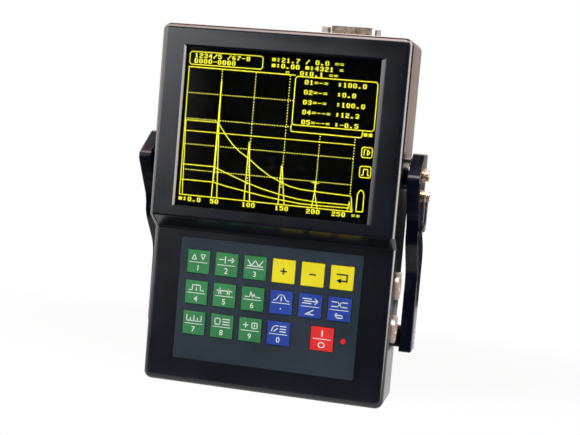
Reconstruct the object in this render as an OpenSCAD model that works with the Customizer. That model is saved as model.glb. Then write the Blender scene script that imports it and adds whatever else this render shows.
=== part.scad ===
// Portable ultrasonic flaw detector with a folding carrying handle.
// X runs across the screen, Y from the screen to the back, and Z is up.
// The origin is the middle of the flat bottom that the case stands on.
// A depth is measured backwards from the face of the screen block.

/* [Case] */
// Width of the case
case_w = 154; // [150:1:170]
// Height of the case
case_h = 224; // [216:1:240]
// Depth of the case from the screen face to the back
case_t = 50; // [50:1:60]
// Radius of the case's corners, seen from the front
case_corner = 5; // [4:0.5:9]
// Rounding of the front edges
front_round = 4; // [3.2:0.1:4]
// Rounding of the back edges
back_round = 6; // [4:0.5:7]
// Wall of both shells
case_wall = 3; // [2.4:0.1:3.2]
// Depth of the seam between the shells
seam_depth = 16; // [16:0.1:17]
// Width of the rubber seal in the seam
seal_w = 1.2; // [0.8:0.1:1.4]

/* [Screen block] */
// How far the screen block stands proud of the key deck
step_depth = 12; // [11:0.1:12]
// Height of the screen block's lower front edge, as a share of the case's height
step_h_share = 0.47321; // [0.47:0.001:0.48]
// Height that the slope below the screen block takes up
slope_h = 8; // [6:0.5:8]
// Width of the case on each side of the window opening
window_side = 16; // [15:0.5:20]
// Height of the window opening, as a share of the case's height
window_h_share = 0.42634; // [0.395:0.001:0.428]
// Height of the window's middle, as a share of the case's height
window_mid_share = 0.72455; // [0.722:0.0005:0.727]
// How far the opening's lower edge lies below the display's lower edge
sill_drop = 2; // [0:0.1:2]
// Width of the bevel round the window opening
bevel_w = 2.2; // [1:0.1:2.4]
// Thickness of the window
glass_t = 2; // [1:0.1:2.4]
// How far the window laps behind the opening's edge
glass_lap = 2; // [1:0.1:2.6]

/* [Display] */
// How far the display reaches past each side of the window opening
display_lap_w = 3.5; // [2.5:0.1:4]
// How far the display reaches past the top and the bottom of the opening
display_lap_h = 2.75; // [2:0.05:2.75]
// Thickness of the display panel
display_t = 7; // [5:0.1:7.2]
// Thickness of every circuit board
board_t = 1.6; // [1:0.1:2]

/* [Keys] */
// Gap between key columns
key_col_gap = 3.95; // [3.65:0.05:6]
// Gap between key rows
key_row_gap = 4.8; // [4.2:0.1:7]
// Distance between key columns, as a share of the overlay's width
key_col_share = 0.15733; // [0.152:0.001:0.158]
// Distance between key rows, as a share of the case's height
key_pitch_share = 0.086607; // [0.083:0.001:0.088]
// Height of the top row's middle, as a share of the case's height
key_row_share = 0.34866; // [0.344:0.001:0.35]
// How far a key stands proud of the key deck
key_proud = 0.7; // [0.6:0.1:1.2]
// Travel of a key
key_travel = 0.5; // [0.2:0.1:0.6]
// Gap round a key
key_gap = 0.35; // [0.3:0.05:0.5]
// Width of the key deck on each side of the keypad overlay
overlay_side = 19; // [17:0.5:20.5]
// Height of the keypad overlay, as a share of the case's height
overlay_h_share = 0.34375; // [0.33:0.001:0.344]
// Thickness of the keypad overlay
overlay_t = 0.5; // [0.3:0.1:0.8]
// Radius of the key light
led_r = 1.5; // [1:0.1:2]

/* [Handle] */
// Height of the handle's pivot, as a share of the case's height
pivot_share = 0.642857; // [0.634:0.001:0.652]
// Depth of the handle's pivot
pivot_depth = 26.5; // [26.5:0.1:28]
// Thickness of a handle arm
arm_t = 8; // [6:0.5:10]
// Gap between the case and a handle arm
arm_gap = 3; // [2.8:0.1:4]
// Height of the arm's hub above the pivot
hub_top = 13; // [12:0.5:14]
// Forward reach of the hub's ridge from the pivot
hub_reach = 21.5; // [19:0.5:23]
// Backward reach of the hub from the pivot
hub_back = 10; // [9:0.5:11]
// Radius of the hub boss on the case
boss_r = 10; // [8:0.5:10]
// How far the arm's straight part reaches forward of the case's back
limb_lap = 5; // [2:0.5:6]
// Width of the arm's straight part
limb_w = 18; // [18:0.5:22]
// Height of the arm's lower end above the bottom
limb_end_h = 31; // [26:0.5:34]
// Radius of the pivot screw's shoulder
pivot_r = 2.5; // [2:0.1:3]
// Depth of the cross bar
bar_t = 8; // [7:0.5:8.5]
// Height of the cross bar
bar_h = 14; // [12:0.5:14]
// Thickness of the grip on the cross bar
grip_t = 1.3; // [1:0.1:1.4]
// Length of the cross bar left bare at each end of the grip
grip_side = 24; // [5:1:40]

/* [Strap ring] */
// Radius of the ring's wire
wire_r = 1; // [0.8:0.05:1.2]
// Width of the ring between wire centres
ring_w = 16; // [14:0.5:16.5]
// Height of the ring between wire centres
ring_h = 21; // [18:0.5:22]
// Drop of the strap lug below the pivot
lug_drop = 12.5; // [12:0.1:13.5]
// Radius of the strap lug
lug_r = 3.4; // [3:0.1:4]

/* [Sockets] */
// Radius of a probe socket's flange
socket_r = 8.7; // [8:0.1:9]
// Radius of a probe socket's barrel
barrel_r = 6.5; // [5.5:0.1:7]
// Radius of a probe socket's bore
socket_bore_r = 4.2; // [3.8:0.1:4.8]
// Height of the upper probe socket, as a share of the case's height
socket_share = 0.33036; // [0.322:0.001:0.339]
// Distance between the probe sockets, as a share of the case's height
socket_pitch_share = 0.120536; // [0.1:0.001:0.13]
// Distance from the probe sockets to the inside of the back wall
socket_back = 13; // [12:0.1:15]
// Distance from the right side of the case to the middle of the data port
port_side = 41.5; // [37:0.5:57]
// Distance between the data port's jack posts
post_pitch = 33.3; // [33.3:0.1:36]

/* [Battery] */
// Width of the case on each side of the battery pack
bay_side = 27; // [26:0.5:37]
// Height of the battery pack, as a share of the case's height
battery_h_share = 0.294643; // [0.23:0.001:0.299]
// Gap between the keypad board and the battery bay
bay_front_gap = 5.1; // [4:0.1:10]

/* [Hidden] */
$fn = 48;
// overrun of every cut beyond the face that it leaves
over = 0.5;
// gap between pieces that don't touch
slack = 0.3;
// running gap of a pin in its bore
run_gap = 0.05;
// bearing of one flat face near another that it slides on
flat_gap = 0.3;

// heights and widths that follow the case
step_h = case_h * step_h_share;
window_w = case_w - 2 * window_side;
window_h = case_h * window_h_share;
window_mid_h = case_h * window_mid_share;
display_w = window_w + 2 * display_lap_w;
display_h = window_h + 2 * display_lap_h;
overlay_w = case_w - 2 * overlay_side;
overlay_h = case_h * overlay_h_share;
key_pitch_x = overlay_w * key_col_share;
key_pitch_z = case_h * key_pitch_share;
key_w = key_pitch_x - key_col_gap;
key_h = key_pitch_z - key_row_gap;
key_row_h = case_h * key_row_share;
pivot_h = case_h * pivot_share;
socket_h = case_h * socket_share;
socket_pitch = case_h * socket_pitch_share;
battery_w = case_w - 2 * bay_side;
battery_h = case_h * battery_h_share;

front_y = -case_t / 2;
side_x = case_w / 2;
deck_back = step_depth + case_wall;
back_in = case_t - case_wall;
slope_rise_share = sqrt(step_depth * step_depth + slope_h * slope_h) / step_depth;

// screws that hold the shells together
screw_r = 1.5;
screw_head_r = 2.8;
screw_head_t = 2.5;
screw_inset = 8.5;
screw_boss_r = 4;
screw_sink = 3.5;
screw_clear = 0.2;
screw_blind = 0.8;
boss_rise = 4;
boss_depth = seam_depth + boss_rise;
screw_x = side_x - screw_inset;
mid_screw_h = step_h - slope_h / 4;

// the seal lies in a groove of the back shell's rim
seal_h = 1.2;
seal_inset = (case_wall - seal_w) / 2;

// the window and the display behind it
glass_gap = 0.4;
glass_corner = 2;
glass_depth = case_wall;
display_depth = glass_depth + glass_t + glass_gap;
display_corner = 1.5;
frame_t = 1.2;
frame_rim = 14;
frame_depth = display_depth + display_t;
post_r = 3;
post_x = side_x - case_wall - post_r - slack;
post_inset = 12.5;
post_rise = display_h / 2 - post_inset;
small_screw_r = 1;
small_head_r = 1.8;
small_head_t = 1.2;
small_screw_len = 7;
stud_r = 2.5;
stud_len = 2;
driver_inset_w = 4.5;
driver_inset_h = 6.5;
driver_w = display_w - 2 * driver_inset_w;
driver_h = display_h - 2 * driver_inset_h;
driver_depth = frame_depth + frame_t + stud_len;

// keys, overlay and the board under them
key_corner = 1.2;
key_rim = 1;
key_rim_t = 1;
key_slack = 0.2;
overlay_corner = 1.2;
overlay_gap = 0.2;
overlay_mid_share = 0.243304;
overlay_mid_h = case_h * overlay_mid_share;
dome_r = 4.5;
dome_t = 0.4;
dome_gap = 0.3;
keypad_depth = deck_back + key_slack + key_rim_t + key_travel + dome_gap + dome_t;
keypad_margin = 1;
keypad_post_inset = 18;
keypad_post_gap = 0.6;
keypad_post_x = overlay_w / 2 - keypad_post_inset;
keypad_post_rise = key_row_h + key_h / 2 + key_rim + stud_r + keypad_post_gap - overlay_mid_h;
// columns count from 0, and rows from 0 at the top
key_x_mid_share = 2.5;
led_col_share = 5.22;
power_col_share = 4.5;

// boards behind the display
insert_len = 10;
board_side = 6;
board_inset = 4.5;
main_w = case_w - 2 * (case_wall + insert_len + board_side);
main_h = display_h - 2 * board_inset;
pulser_inset_w = 4;
pulser_inset_h = 6;
pulser_w = main_w - 2 * pulser_inset_w;
pulser_h = main_h - 2 * pulser_inset_h;
// the boards share out the room between the display and the back wall
driver_back = driver_depth + board_t;
board_room = back_in - driver_back;
main_room_share = 0.312081;
spacer_room_share = 0.248322;
shield_room_share = 0.201342;
main_depth = driver_back + board_room * main_room_share;
spacer_len = board_room * spacer_room_share;
shield_t = board_room * shield_room_share;
pulser_depth = main_depth + board_t + spacer_len;
spacer_r = 3;
spacer_inset = 6;
spacer_x = pulser_w / 2 - spacer_inset;
spacer_rise = pulser_h / 2 - spacer_inset;
shield_inset_w = 25;
shield_inset_h = 17;
shield_w = pulser_w - 2 * shield_inset_w;
shield_h = pulser_h - 2 * shield_inset_h;
shield_wall = 0.5;
buzzer_r = 10;
buzzer_t = 4;
buzzer_inset_w = 22;
buzzer_inset_h = 20;
buzzer_x = buzzer_inset_w - main_w / 2;
buzzer_drop = main_h / 2 - buzzer_inset_h;
ribbon_w = 26;
ribbon_t = 0.8;

// battery bay and cover
bay_gap = 2;
bay_wall = 1.6;
bay_mid_share = 0.25;
bay_mid_h = case_h * bay_mid_share;
battery_t = back_in - slack - bay_wall - keypad_depth - board_t - bay_front_gap;
bay_depth = back_in - battery_t - slack;
bay_w = battery_w + 2 * bay_gap;
bay_h = battery_h + 2 * bay_gap;
cover_t = 1.8;
cover_rim = 4;
cover_gap = 0.25;
cover_corner = 3;
contact_w = 5;
contact_x = 14;
contact_len = 8;

// data port on the top wall
port_x = side_x - port_side;
port_depth_share = 0.6;
port_depth = case_t * port_depth_share;
flange_w = 39.2;
flange_t = 12.5;
flange_h = 0.8;
port_shell_w = 25;
port_shell_t = 8.3;
port_shell_h = 5.6;
port_shell_wall = 0.5;
port_slant_share = 0.18;
port_cut_gap = 0.6;
port_body_len = 9;
port_lip = 0.6;
pin_pitch = 2.77;
pin_row_gap = 2.84;
pin_r = 0.55;
pin_bore_len = 5;
jack_r = 2.9;
jack_h = 4.8;
jack_bore_r = 1.3;
jack_stem_r = 1.45;
jack_stem_len = 4.5;

// probe sockets on the right side
socket_depth = back_in - socket_back;
flange_proud = 1.4;
barrel_len = 11;
socket_nut_r = 9;
socket_nut_t = 3;
plug_len = 4;
contact_r = 1.2;
contact_recess = 6;
tail_len = 2;

// handle: arms, pivot screws, bushes, washers and inserts
arm_x = side_x + arm_gap;
washer_t = 0.6;
boss_proud = arm_gap - washer_t - flat_gap;
insert_r = 4;
insert_boss_r = 7;
bush_r = 4.5;
pivot_head_r = 3.5;
pivot_head_t = 2.4;
pivot_slot_w = 0.9;
pivot_slot_t = 1;
ridge_half = 2;
ridge_drop = 2.5;
hub_front = 2;
waist_drop = 31;
waist_h = 9;
limb_depth = case_t - limb_lap;
limb_drop = 63;
heel_drop = 45;
heel_out = 4;
waist_back_drop = 28;
grip_clear = 1;
bar_depth = case_t + grip_t + grip_clear;
bar_mid_h = limb_end_h + bar_h / 2 + grip_t;
bar_round = 3;
grip_w = 2 * (arm_x - grip_side);
bar_screw_rise = 3.4;
bar_screw_len = 20;
bar_head_r = 2.7;
bar_head_t = 2.2;

// strap lug and ring
ring_corner = 5;
ring_off = 1;
lug_cap = 1.1;
lug_stem_r = 2;
lug_stem_len = 5;
lug_depth = pivot_depth;
ring_x = arm_x + arm_t + ring_off + wire_r;

// colours
case_black = [0.10, 0.10, 0.11];
handle_black = [0.13, 0.13, 0.14];
overlay_grey = [0.20, 0.24, 0.27];
key_green = [0.24, 0.53, 0.31];
key_yellow = [0.98, 0.92, 0.12];
key_blue = [0.18, 0.30, 0.65];
key_red = [0.92, 0.14, 0.15];
board_green = [0.10, 0.35, 0.20];
brass_tone = [0.78, 0.62, 0.34];
steel_tone = [0.72, 0.72, 0.72];
rubber_tone = [0.08, 0.08, 0.08];
insulator_tone = [0.93, 0.90, 0.82];

// position along Y of a depth behind the screen face
function at(depth) = front_y + depth;
// middle of a key column and of a key row
function key_x(col) = (col - key_x_mid_share) * key_pitch_x;
function key_z(row) = key_row_h - row * key_pitch_z;
// height of the slope under the screen block at a depth, moved in by the wall
function slope_z(depth, inset) =
  step_h - slope_h * depth / step_depth + inset * slope_rise_share;

// rectangle from the origin with a radius at each corner, counterclockwise
module soft_rect(size, radii) {
  for (i = [0:3]) {
    corner = [i == 1 || i == 2 ? 1 : 0, i > 1 ? 1 : 0];
    inward = [1 - 2 * corner.x, 1 - 2 * corner.y];
    if (radii[i] > 0)
      translate([corner.x * size.x, corner.y * size.y] + radii[i] * inward)
        circle(radii[i]);
  }
  difference() {
    square(size);
    for (i = [0:3]) {
      corner = [i == 1 || i == 2 ? 1 : 0, i > 1 ? 1 : 0];
      inward = [1 - 2 * corner.x, 1 - 2 * corner.y];
      if (radii[i] > 0)
        translate([corner.x * size.x, corner.y * size.y])
          scale(inward)
            translate([-over, -over])
              square(radii[i] + over);
    }
  }
}

// centred rectangle with one radius
module round_rect(w, h, r) {
  translate([-w / 2, -h / 2])
    soft_rect([w, h], [r, r, r, r]);
}

// a front view drawn in X and Z, made solid between two depths
module along_depth(from, to) {
  translate([0, at(to), 0])
    rotate([90, 0, 0])
      linear_extrude(to - from)
        children();
}

// a side view drawn in Y and Z, made solid between two places along X
module along_x(from, to) {
  translate([from, 0, 0])
    rotate([90, 0, 90])
      linear_extrude(to - from)
        children();
}

// round bar along X, and round bar along Y between two depths
module rod_x(from, to, r) {
  translate([from, 0, 0])
    rotate([0, 90, 0])
      cylinder(h = to - from, r = r);
}
module rod_depth(from, to, r) {
  translate([0, at(to), 0])
    rotate([90, 0, 0])
      cylinder(h = to - from, r = r);
}

// the same piece on the right side and mirrored on the left side
module both_sides() {
  children();
  mirror([1, 0, 0])
    children();
}

// front view of the case, moved in by a distance
module case_outline(inset) {
  r = case_corner - inset;
  translate([-side_x + inset, inset])
    soft_rect([case_w - 2 * inset, case_h - 2 * inset], [r, r, r, r]);
}

// plan of the case from a front depth to the back
module case_plan(front, inset) {
  fr = front_round - inset;
  br = back_round - inset;
  translate([-side_x + inset, at(front + inset)])
    soft_rect([case_w - 2 * inset, case_t - front - 2 * inset], [fr, fr, br, br]);
}

// side view of the deck and back part, full height
module deck_side(inset) {
  fr = front_round - inset;
  br = back_round - inset;
  translate([at(step_depth + inset), inset])
    soft_rect([case_t - step_depth - 2 * inset, case_h - 2 * inset], [fr, br, br, 0]);
}

// side view of the screen block, down to its slope
module block_side(inset) {
  fr = front_round - inset;
  br = back_round - inset;
  low = step_depth + inset;
  intersection() {
    translate([at(inset), inset])
      soft_rect([case_t - 2 * inset, case_h - 2 * inset], [0, br, br, fr]);
    polygon([
      [at(inset), slope_z(inset, inset)],
      [at(low), slope_z(low, inset)],
      [at(case_t), slope_z(low, inset)],
      [at(case_t), case_h],
      [at(inset), case_h]
    ]);
  }
}

// the outside of the case at inset 0, and its hollow at the wall's inset
module case_form(inset) {
  intersection() {
    along_depth(0, case_t)
      case_outline(inset);
    linear_extrude(case_h)
      case_plan(step_depth, inset);
    along_x(-side_x, side_x)
      deck_side(inset);
  }
  intersection() {
    along_depth(0, case_t)
      case_outline(inset);
    linear_extrude(case_h)
      case_plan(0, inset);
    along_x(-side_x, side_x)
      block_side(inset);
  }
}

// places of the six case screws, each with the depth where its boss starts
screw_spots = [
  for (side = [-1, 1])
    for (spot = [
      [screw_inset, step_depth + case_wall / 2],
      [mid_screw_h, step_depth + case_wall / 2],
      [case_h - screw_inset, case_wall / 2]
    ])
      [side * screw_x, spot[0], spot[1]]
];

module at_display_posts() {
  for (side = [-1, 1], rise = [-1, 1])
    translate([side * post_x, 0, window_mid_h + rise * post_rise])
      children();
}

module at_keypad_posts() {
  for (side = [-1, 1], rise = [-1, 1])
    translate([side * keypad_post_x, 0, overlay_mid_h + rise * keypad_post_rise])
      children();
}

// columns and rows of all keys, the power key last
key_places = concat(
  [for (row = [0, 1], col = [0:5]) [col, row]],
  [for (col = [0:3]) [col, 2]],
  [[power_col_share, 2]]
);

module at_keys() {
  for (place = key_places)
    translate([key_x(place[0]), 0, key_z(place[1])])
      children();
}

module at_led() {
  translate([key_x(led_col_share), 0, key_z(2)])
    children();
}

module key_holes(from, to) {
  at_keys()
    along_depth(from, to)
      round_rect(key_w + 2 * key_gap, key_h + 2 * key_gap, key_corner + key_gap);
}

// the window opening narrows through the wall with a bevel all round
module window_cut() {
  near = window_w / 2 + bevel_w * over / case_wall;
  far = window_w / 2 - bevel_w;
  low = window_mid_h - window_h / 2 - sill_drop;
  high = window_mid_h + window_h / 2;
  spill = bevel_w * over / case_wall;
  intersection() {
    linear_extrude(case_h)
      polygon([
        [-near, at(-over)], [near, at(-over)], [far, at(case_wall)],
        [far, at(case_wall + over)], [-far, at(case_wall + over)], [-far, at(case_wall)]
      ]);
    along_x(-side_x, side_x)
      polygon([
        [at(-over), low - spill], [at(case_wall), low + bevel_w],
        [at(case_wall + over), low + bevel_w], [at(case_wall + over), high - bevel_w],
        [at(case_wall), high - bevel_w], [at(-over), high + spill]
      ]);
  }
}

module front_shell() color(case_black) difference() {
  union() {
    difference() {
      intersection() {
        case_form(0);
        along_depth(-over, seam_depth)
          translate([-side_x, 0])
            square([case_w, case_h]);
      }
      case_form(case_wall);
    }
    for (spot = screw_spots)
      translate([spot.x, 0, spot.y])
        rod_depth(spot.z, boss_depth, screw_boss_r);
    at_display_posts()
      rod_depth(case_wall / 2, frame_depth, post_r);
    at_keypad_posts()
      rod_depth(deck_back - case_wall / 2, keypad_depth, stud_r);
  }
  window_cut();
  along_depth(step_depth - over, step_depth + overlay_t)
    translate([0, overlay_mid_h])
      round_rect(overlay_w, overlay_h, overlay_corner);
  key_holes(step_depth, deck_back + over);
  at_led()
    rod_depth(step_depth, deck_back + over, led_r + key_gap);
  for (spot = screw_spots)
    translate([spot.x, 0, spot.y])
      rod_depth(step_depth + case_wall - screw_blind, boss_depth + over, screw_r);
  at_display_posts()
    rod_depth(frame_depth - small_screw_len, frame_depth + over, small_screw_r);
  at_keypad_posts()
    rod_depth(keypad_depth - stud_len, keypad_depth + over, small_screw_r);
}

// battery bay: a box open to the back, inside the back shell
module bay_box() {
  difference() {
    along_depth(bay_depth - bay_wall, back_in + case_wall / 2)
      translate([0, bay_mid_h])
        square([bay_w + 2 * bay_wall, bay_h + 2 * bay_wall], center = true);
    along_depth(bay_depth, back_in + case_wall)
      translate([0, bay_mid_h])
        square([bay_w, bay_h], center = true);
  }
}

module at_sockets() {
  for (i = [0, 1])
    translate([0, at(socket_depth), socket_h - i * socket_pitch])
      children();
}

module at_pivot() {
  translate([0, at(pivot_depth), pivot_h])
    children();
}

module at_cover_lugs() {
  for (side = [-1, 1])
    translate([side * (bay_w / 2 + bay_wall + screw_boss_r), 0, bay_mid_h])
      children();
}

module cover_outline(gap) {
  translate([0, bay_mid_h])
    round_rect(
      bay_w + 2 * bay_wall + 4 * screw_boss_r - 2 * gap,
      bay_h + 2 * cover_rim - 2 * gap,
      cover_corner
    );
}

module rear_shell() color(case_black) difference() {
  union() {
    difference() {
      intersection() {
        case_form(0);
        along_depth(seam_depth, case_t + over)
          translate([-side_x, 0])
            square([case_w, case_h]);
      }
      case_form(case_wall);
    }
    for (spot = screw_spots)
      translate([spot.x, 0, spot.y])
        rod_depth(boss_depth, case_t - case_wall / 2, screw_boss_r);
    bay_box();
    at_cover_lugs()
      rod_depth(back_in - small_screw_len, back_in + case_wall / 4, stud_r + case_wall / 4);
    both_sides()
      at_pivot() {
        rod_x(side_x - case_wall / 2, side_x + boss_proud, boss_r);
        rod_x(side_x - case_wall - insert_len, side_x - case_wall / 2, insert_boss_r);
      }
  }
  along_depth(seam_depth - over, seam_depth + seal_h)
    difference() {
      case_outline(seal_inset);
      case_outline(seal_inset + seal_w);
    }
  for (spot = screw_spots)
    translate([spot.x, 0, spot.y]) {
      rod_depth(boss_depth - over, case_t, screw_r + screw_clear);
      rod_depth(case_t - screw_head_t - screw_sink, case_t + over, screw_head_r + screw_clear);
    }
  along_depth(case_t - cover_t, case_t + over)
    cover_outline(0);
  along_depth(bay_depth, case_t)
    translate([0, bay_mid_h])
      square([bay_w, bay_h], center = true);
  at_cover_lugs()
    rod_depth(back_in - small_screw_len + case_wall / 2, case_t, small_screw_r);
  both_sides()
    at_pivot()
      rod_x(side_x - case_wall - insert_len - over, side_x + boss_proud + over, insert_r);
  at_sockets()
    rod_x(side_x - case_wall - over, side_x + over, barrel_r);
  translate([port_x, at(port_depth), case_h - case_wall - over])
    linear_extrude(case_wall + 2 * over)
      square([port_shell_w + 2 * port_cut_gap, port_shell_t + 2 * port_cut_gap], center = true);
  for (side = [-1, 1])
    translate([port_x + side * post_pitch / 2, at(port_depth), case_h - case_wall - over])
      cylinder(h = case_wall + 2 * over, r = jack_stem_r);
}

module case_seal() color(rubber_tone)
  along_depth(seam_depth, seam_depth + seal_h)
    difference() {
      case_outline(seal_inset);
      case_outline(seal_inset + seal_w);
    }

// slotted pan screw along the depth, head towards the back
module screw_depth(tip, seat, r, head_r, head_t) {
  difference() {
    union() {
      rod_depth(tip, seat, r);
      rod_depth(seat, seat + head_t, head_r);
    }
    along_depth(seat + head_t / 2, seat + head_t + over)
      square([2 * head_r + 2 * over, head_r / 3], center = true);
  }
}

module case_screws() color(steel_tone)
  for (spot = screw_spots)
    translate([spot.x, 0, spot.y])
      screw_depth(
        step_depth + case_wall - screw_blind,
        case_t - screw_head_t - screw_sink, screw_r, screw_head_r, screw_head_t
      );

module screen_window() color([0.75, 0.80, 0.82, 0.35])
  along_depth(glass_depth, glass_depth + glass_t)
    translate([0, window_mid_h])
      round_rect(window_w + 2 * glass_lap, window_h + 2 * glass_lap, glass_corner);

module display_panel() color([0.05, 0.05, 0.03])
  along_depth(display_depth, display_depth + display_t)
    translate([0, window_mid_h])
      round_rect(display_w, display_h, display_corner);

module display_frame() color(steel_tone) difference() {
  union() {
    along_depth(frame_depth, frame_depth + frame_t)
      translate([0, window_mid_h])
        difference() {
          union() {
            square([display_w, display_h], center = true);
            for (rise = [-1, 1])
              translate([0, rise * post_rise])
                square([2 * post_x, 2 * post_r], center = true);
            for (side = [-1, 1], rise = [-1, 1])
              translate([side * post_x, rise * post_rise])
                circle(post_r);
          }
          square([display_w - 2 * frame_rim, display_h - 2 * frame_rim], center = true);
        }
    for (side = [-1, 1], rise = [-1, 1])
      translate([
        side * (driver_w / 2 - 2 * stud_r), 0,
        window_mid_h + rise * (driver_h / 2 - 2 * stud_r)
      ])
        rod_depth(frame_depth, driver_depth, stud_r);
  }
  at_display_posts()
    rod_depth(frame_depth - over, frame_depth + frame_t + over, small_screw_r);
}

module display_driver_board() color(board_green)
  along_depth(driver_depth, driver_depth + board_t)
    translate([0, window_mid_h])
      square([driver_w, driver_h], center = true);

// small screws that hold the display frame and the keypad board
module board_screws() color(steel_tone) {
  at_display_posts()
    screw_depth(
      frame_depth - small_screw_len, frame_depth + frame_t,
      small_screw_r, small_head_r, small_head_t
    );
  at_keypad_posts()
    screw_depth(
      keypad_depth - stud_len, keypad_depth + board_t,
      small_screw_r, small_head_r, small_head_t
    );
}

module keypad_overlay() color(overlay_grey) difference() {
  along_depth(step_depth, step_depth + overlay_t)
    translate([0, overlay_mid_h])
      round_rect(overlay_w - 2 * overlay_gap, overlay_h - 2 * overlay_gap, overlay_corner);
  key_holes(step_depth - over, step_depth + overlay_t + over);
  at_led()
    rod_depth(step_depth - over, step_depth + overlay_t + over, led_r + key_gap);
}

module keypad_board() color(board_green) difference() {
  along_depth(keypad_depth, keypad_depth + board_t)
    translate([0, overlay_mid_h])
      square([overlay_w - 2 * keypad_margin, overlay_h - 2 * keypad_margin], center = true);
  at_keypad_posts()
    rod_depth(keypad_depth - over, keypad_depth + board_t + over, small_screw_r);
}

module key_domes() color(steel_tone)
  at_keys()
    rod_depth(keypad_depth - dome_t, keypad_depth, dome_r);

module led_indicator() color([0.8, 0.05, 0.05])
  at_led() {
    rod_depth(step_depth - key_proud, keypad_depth, led_r);
    rod_depth(keypad_depth - dome_t, keypad_depth, led_r + key_gap);
  }

// a key: its cap in the deck's hole and the rim behind that holds it in
module key_cap(col, row, tone) {
  rim = deck_back + key_slack;
  color(tone)
    translate([key_x(col), 0, key_z(row)]) {
      along_depth(step_depth - key_proud, rim + key_rim_t)
        round_rect(key_w, key_h, key_corner);
      along_depth(rim, rim + key_rim_t)
        round_rect(key_w + 2 * key_rim, key_h + 2 * key_rim, key_corner);
    }
}

module key_1() key_cap(0, 0, key_green);
module key_2() key_cap(1, 0, key_green);
module key_3() key_cap(2, 0, key_green);
module key_plus() key_cap(3, 0, key_yellow);
module key_minus() key_cap(4, 0, key_yellow);
module key_enter() key_cap(5, 0, key_yellow);
module key_4() key_cap(0, 1, key_green);
module key_5() key_cap(1, 1, key_green);
module key_6() key_cap(2, 1, key_green);
module key_envelope() key_cap(3, 1, key_blue);
module key_velocity() key_cap(4, 1, key_blue);
module key_channel() key_cap(5, 1, key_blue);
module key_7() key_cap(0, 2, key_green);
module key_8() key_cap(1, 2, key_green);
module key_9() key_cap(2, 2, key_green);
module key_0() key_cap(3, 2, key_blue);
module key_power() key_cap(power_col_share, 2, key_red);

module main_board() color(board_green)
  along_depth(main_depth, main_depth + board_t)
    translate([0, window_mid_h])
      square([main_w, main_h], center = true);

module pulser_board() color(board_green)
  along_depth(pulser_depth, pulser_depth + board_t)
    translate([0, window_mid_h])
      square([pulser_w, pulser_h], center = true);

// screening can over the pulser circuit, open towards its board
module pulser_shield() color(steel_tone)
  translate([0, 0, window_mid_h])
    difference() {
      along_depth(pulser_depth + board_t, pulser_depth + board_t + shield_t)
        square([shield_w, shield_h], center = true);
      along_depth(pulser_depth + board_t - over, pulser_depth + board_t + shield_t - shield_wall)
        square([shield_w - 2 * shield_wall, shield_h - 2 * shield_wall], center = true);
    }

// spacers from the back wall to the pulser board, and on to the main board
module board_spacers() color(brass_tone)
  for (side = [-1, 1], rise = [-1, 1])
    translate([side * spacer_x, 0, window_mid_h + rise * spacer_rise]) {
      rod_depth(pulser_depth + board_t, back_in, spacer_r);
      rod_depth(main_depth + board_t, pulser_depth, spacer_r);
    }

module buzzer() color(rubber_tone)
  translate([buzzer_x, 0, window_mid_h - buzzer_drop])
    rod_depth(main_depth - buzzer_t, main_depth, buzzer_r);

// flat cable from the back of the keypad board up to the main board
module keypad_ribbon() color([0.75, 0.75, 0.78]) {
  near = keypad_depth + board_t;
  low = overlay_mid_h + overlay_h / 2 - keypad_margin;
  high = window_mid_h - main_h / 2;
  along_x(-ribbon_w / 2, ribbon_w / 2)
    polygon([
      [at(near), low - 2 * ribbon_w / 10],
      [at(near + ribbon_t), low - 2 * ribbon_w / 10],
      [at(near + ribbon_t), low],
      [at(main_depth), high - ribbon_t],
      [at(main_depth), high + ribbon_w / 10],
      [at(main_depth - ribbon_t), high + ribbon_w / 10],
      [at(main_depth - ribbon_t), high],
      [at(near), low + ribbon_t]
    ]);
}

module battery_pack() color([0.15, 0.25, 0.45])
  along_depth(bay_depth, bay_depth + battery_t)
    translate([0, bay_mid_h])
      square([battery_w, battery_h], center = true);

// two sprung blades between the bay's upper wall and the pack
module battery_contacts() color(brass_tone)
  for (side = [-1, 1])
    translate([side * contact_x, at(bay_depth + contact_len), bay_mid_h + battery_h / 2 + bay_gap / 2])
      cube([contact_w, contact_len, bay_gap], center = true);

module battery_cover() color(case_black) difference() {
  along_depth(case_t - cover_t, case_t)
    cover_outline(cover_gap);
  at_cover_lugs()
    rod_depth(case_t - cover_t - over, case_t + over, small_screw_r);
  at_cover_lugs()
    rod_depth(case_t - small_head_t, case_t + over, small_head_r + screw_clear);
}

module battery_cover_screws() color(steel_tone)
  at_cover_lugs()
    screw_depth(
      back_in - small_screw_len + case_wall / 2, case_t - small_head_t,
      small_screw_r, small_head_r, small_head_t
    );

// outline of the data port: a trapezium, wider towards the screen
module port_outline(w, t) {
  polygon([
    [-w / 2, -t / 2], [w / 2, -t / 2],
    [w / 2 - port_slant_share * t, t / 2], [-w / 2 + port_slant_share * t, t / 2]
  ]);
}

module at_port() {
  translate([port_x, at(port_depth), case_h])
    children();
}

module port_shell() color(steel_tone) at_port() difference() {
  union() {
    linear_extrude(flange_h)
      round_rect(flange_w, flange_t, flange_h);
    linear_extrude(flange_h + port_shell_h)
      port_outline(port_shell_w, port_shell_t);
  }
  translate([0, 0, -over])
    linear_extrude(flange_h + port_shell_h + 2 * over)
      port_outline(port_shell_w - 2 * port_shell_wall, port_shell_t - 2 * port_shell_wall);
  for (side = [-1, 1])
    translate([side * post_pitch / 2, 0, -over])
      cylinder(h = flange_h + 2 * over, r = jack_stem_r);
}

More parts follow.
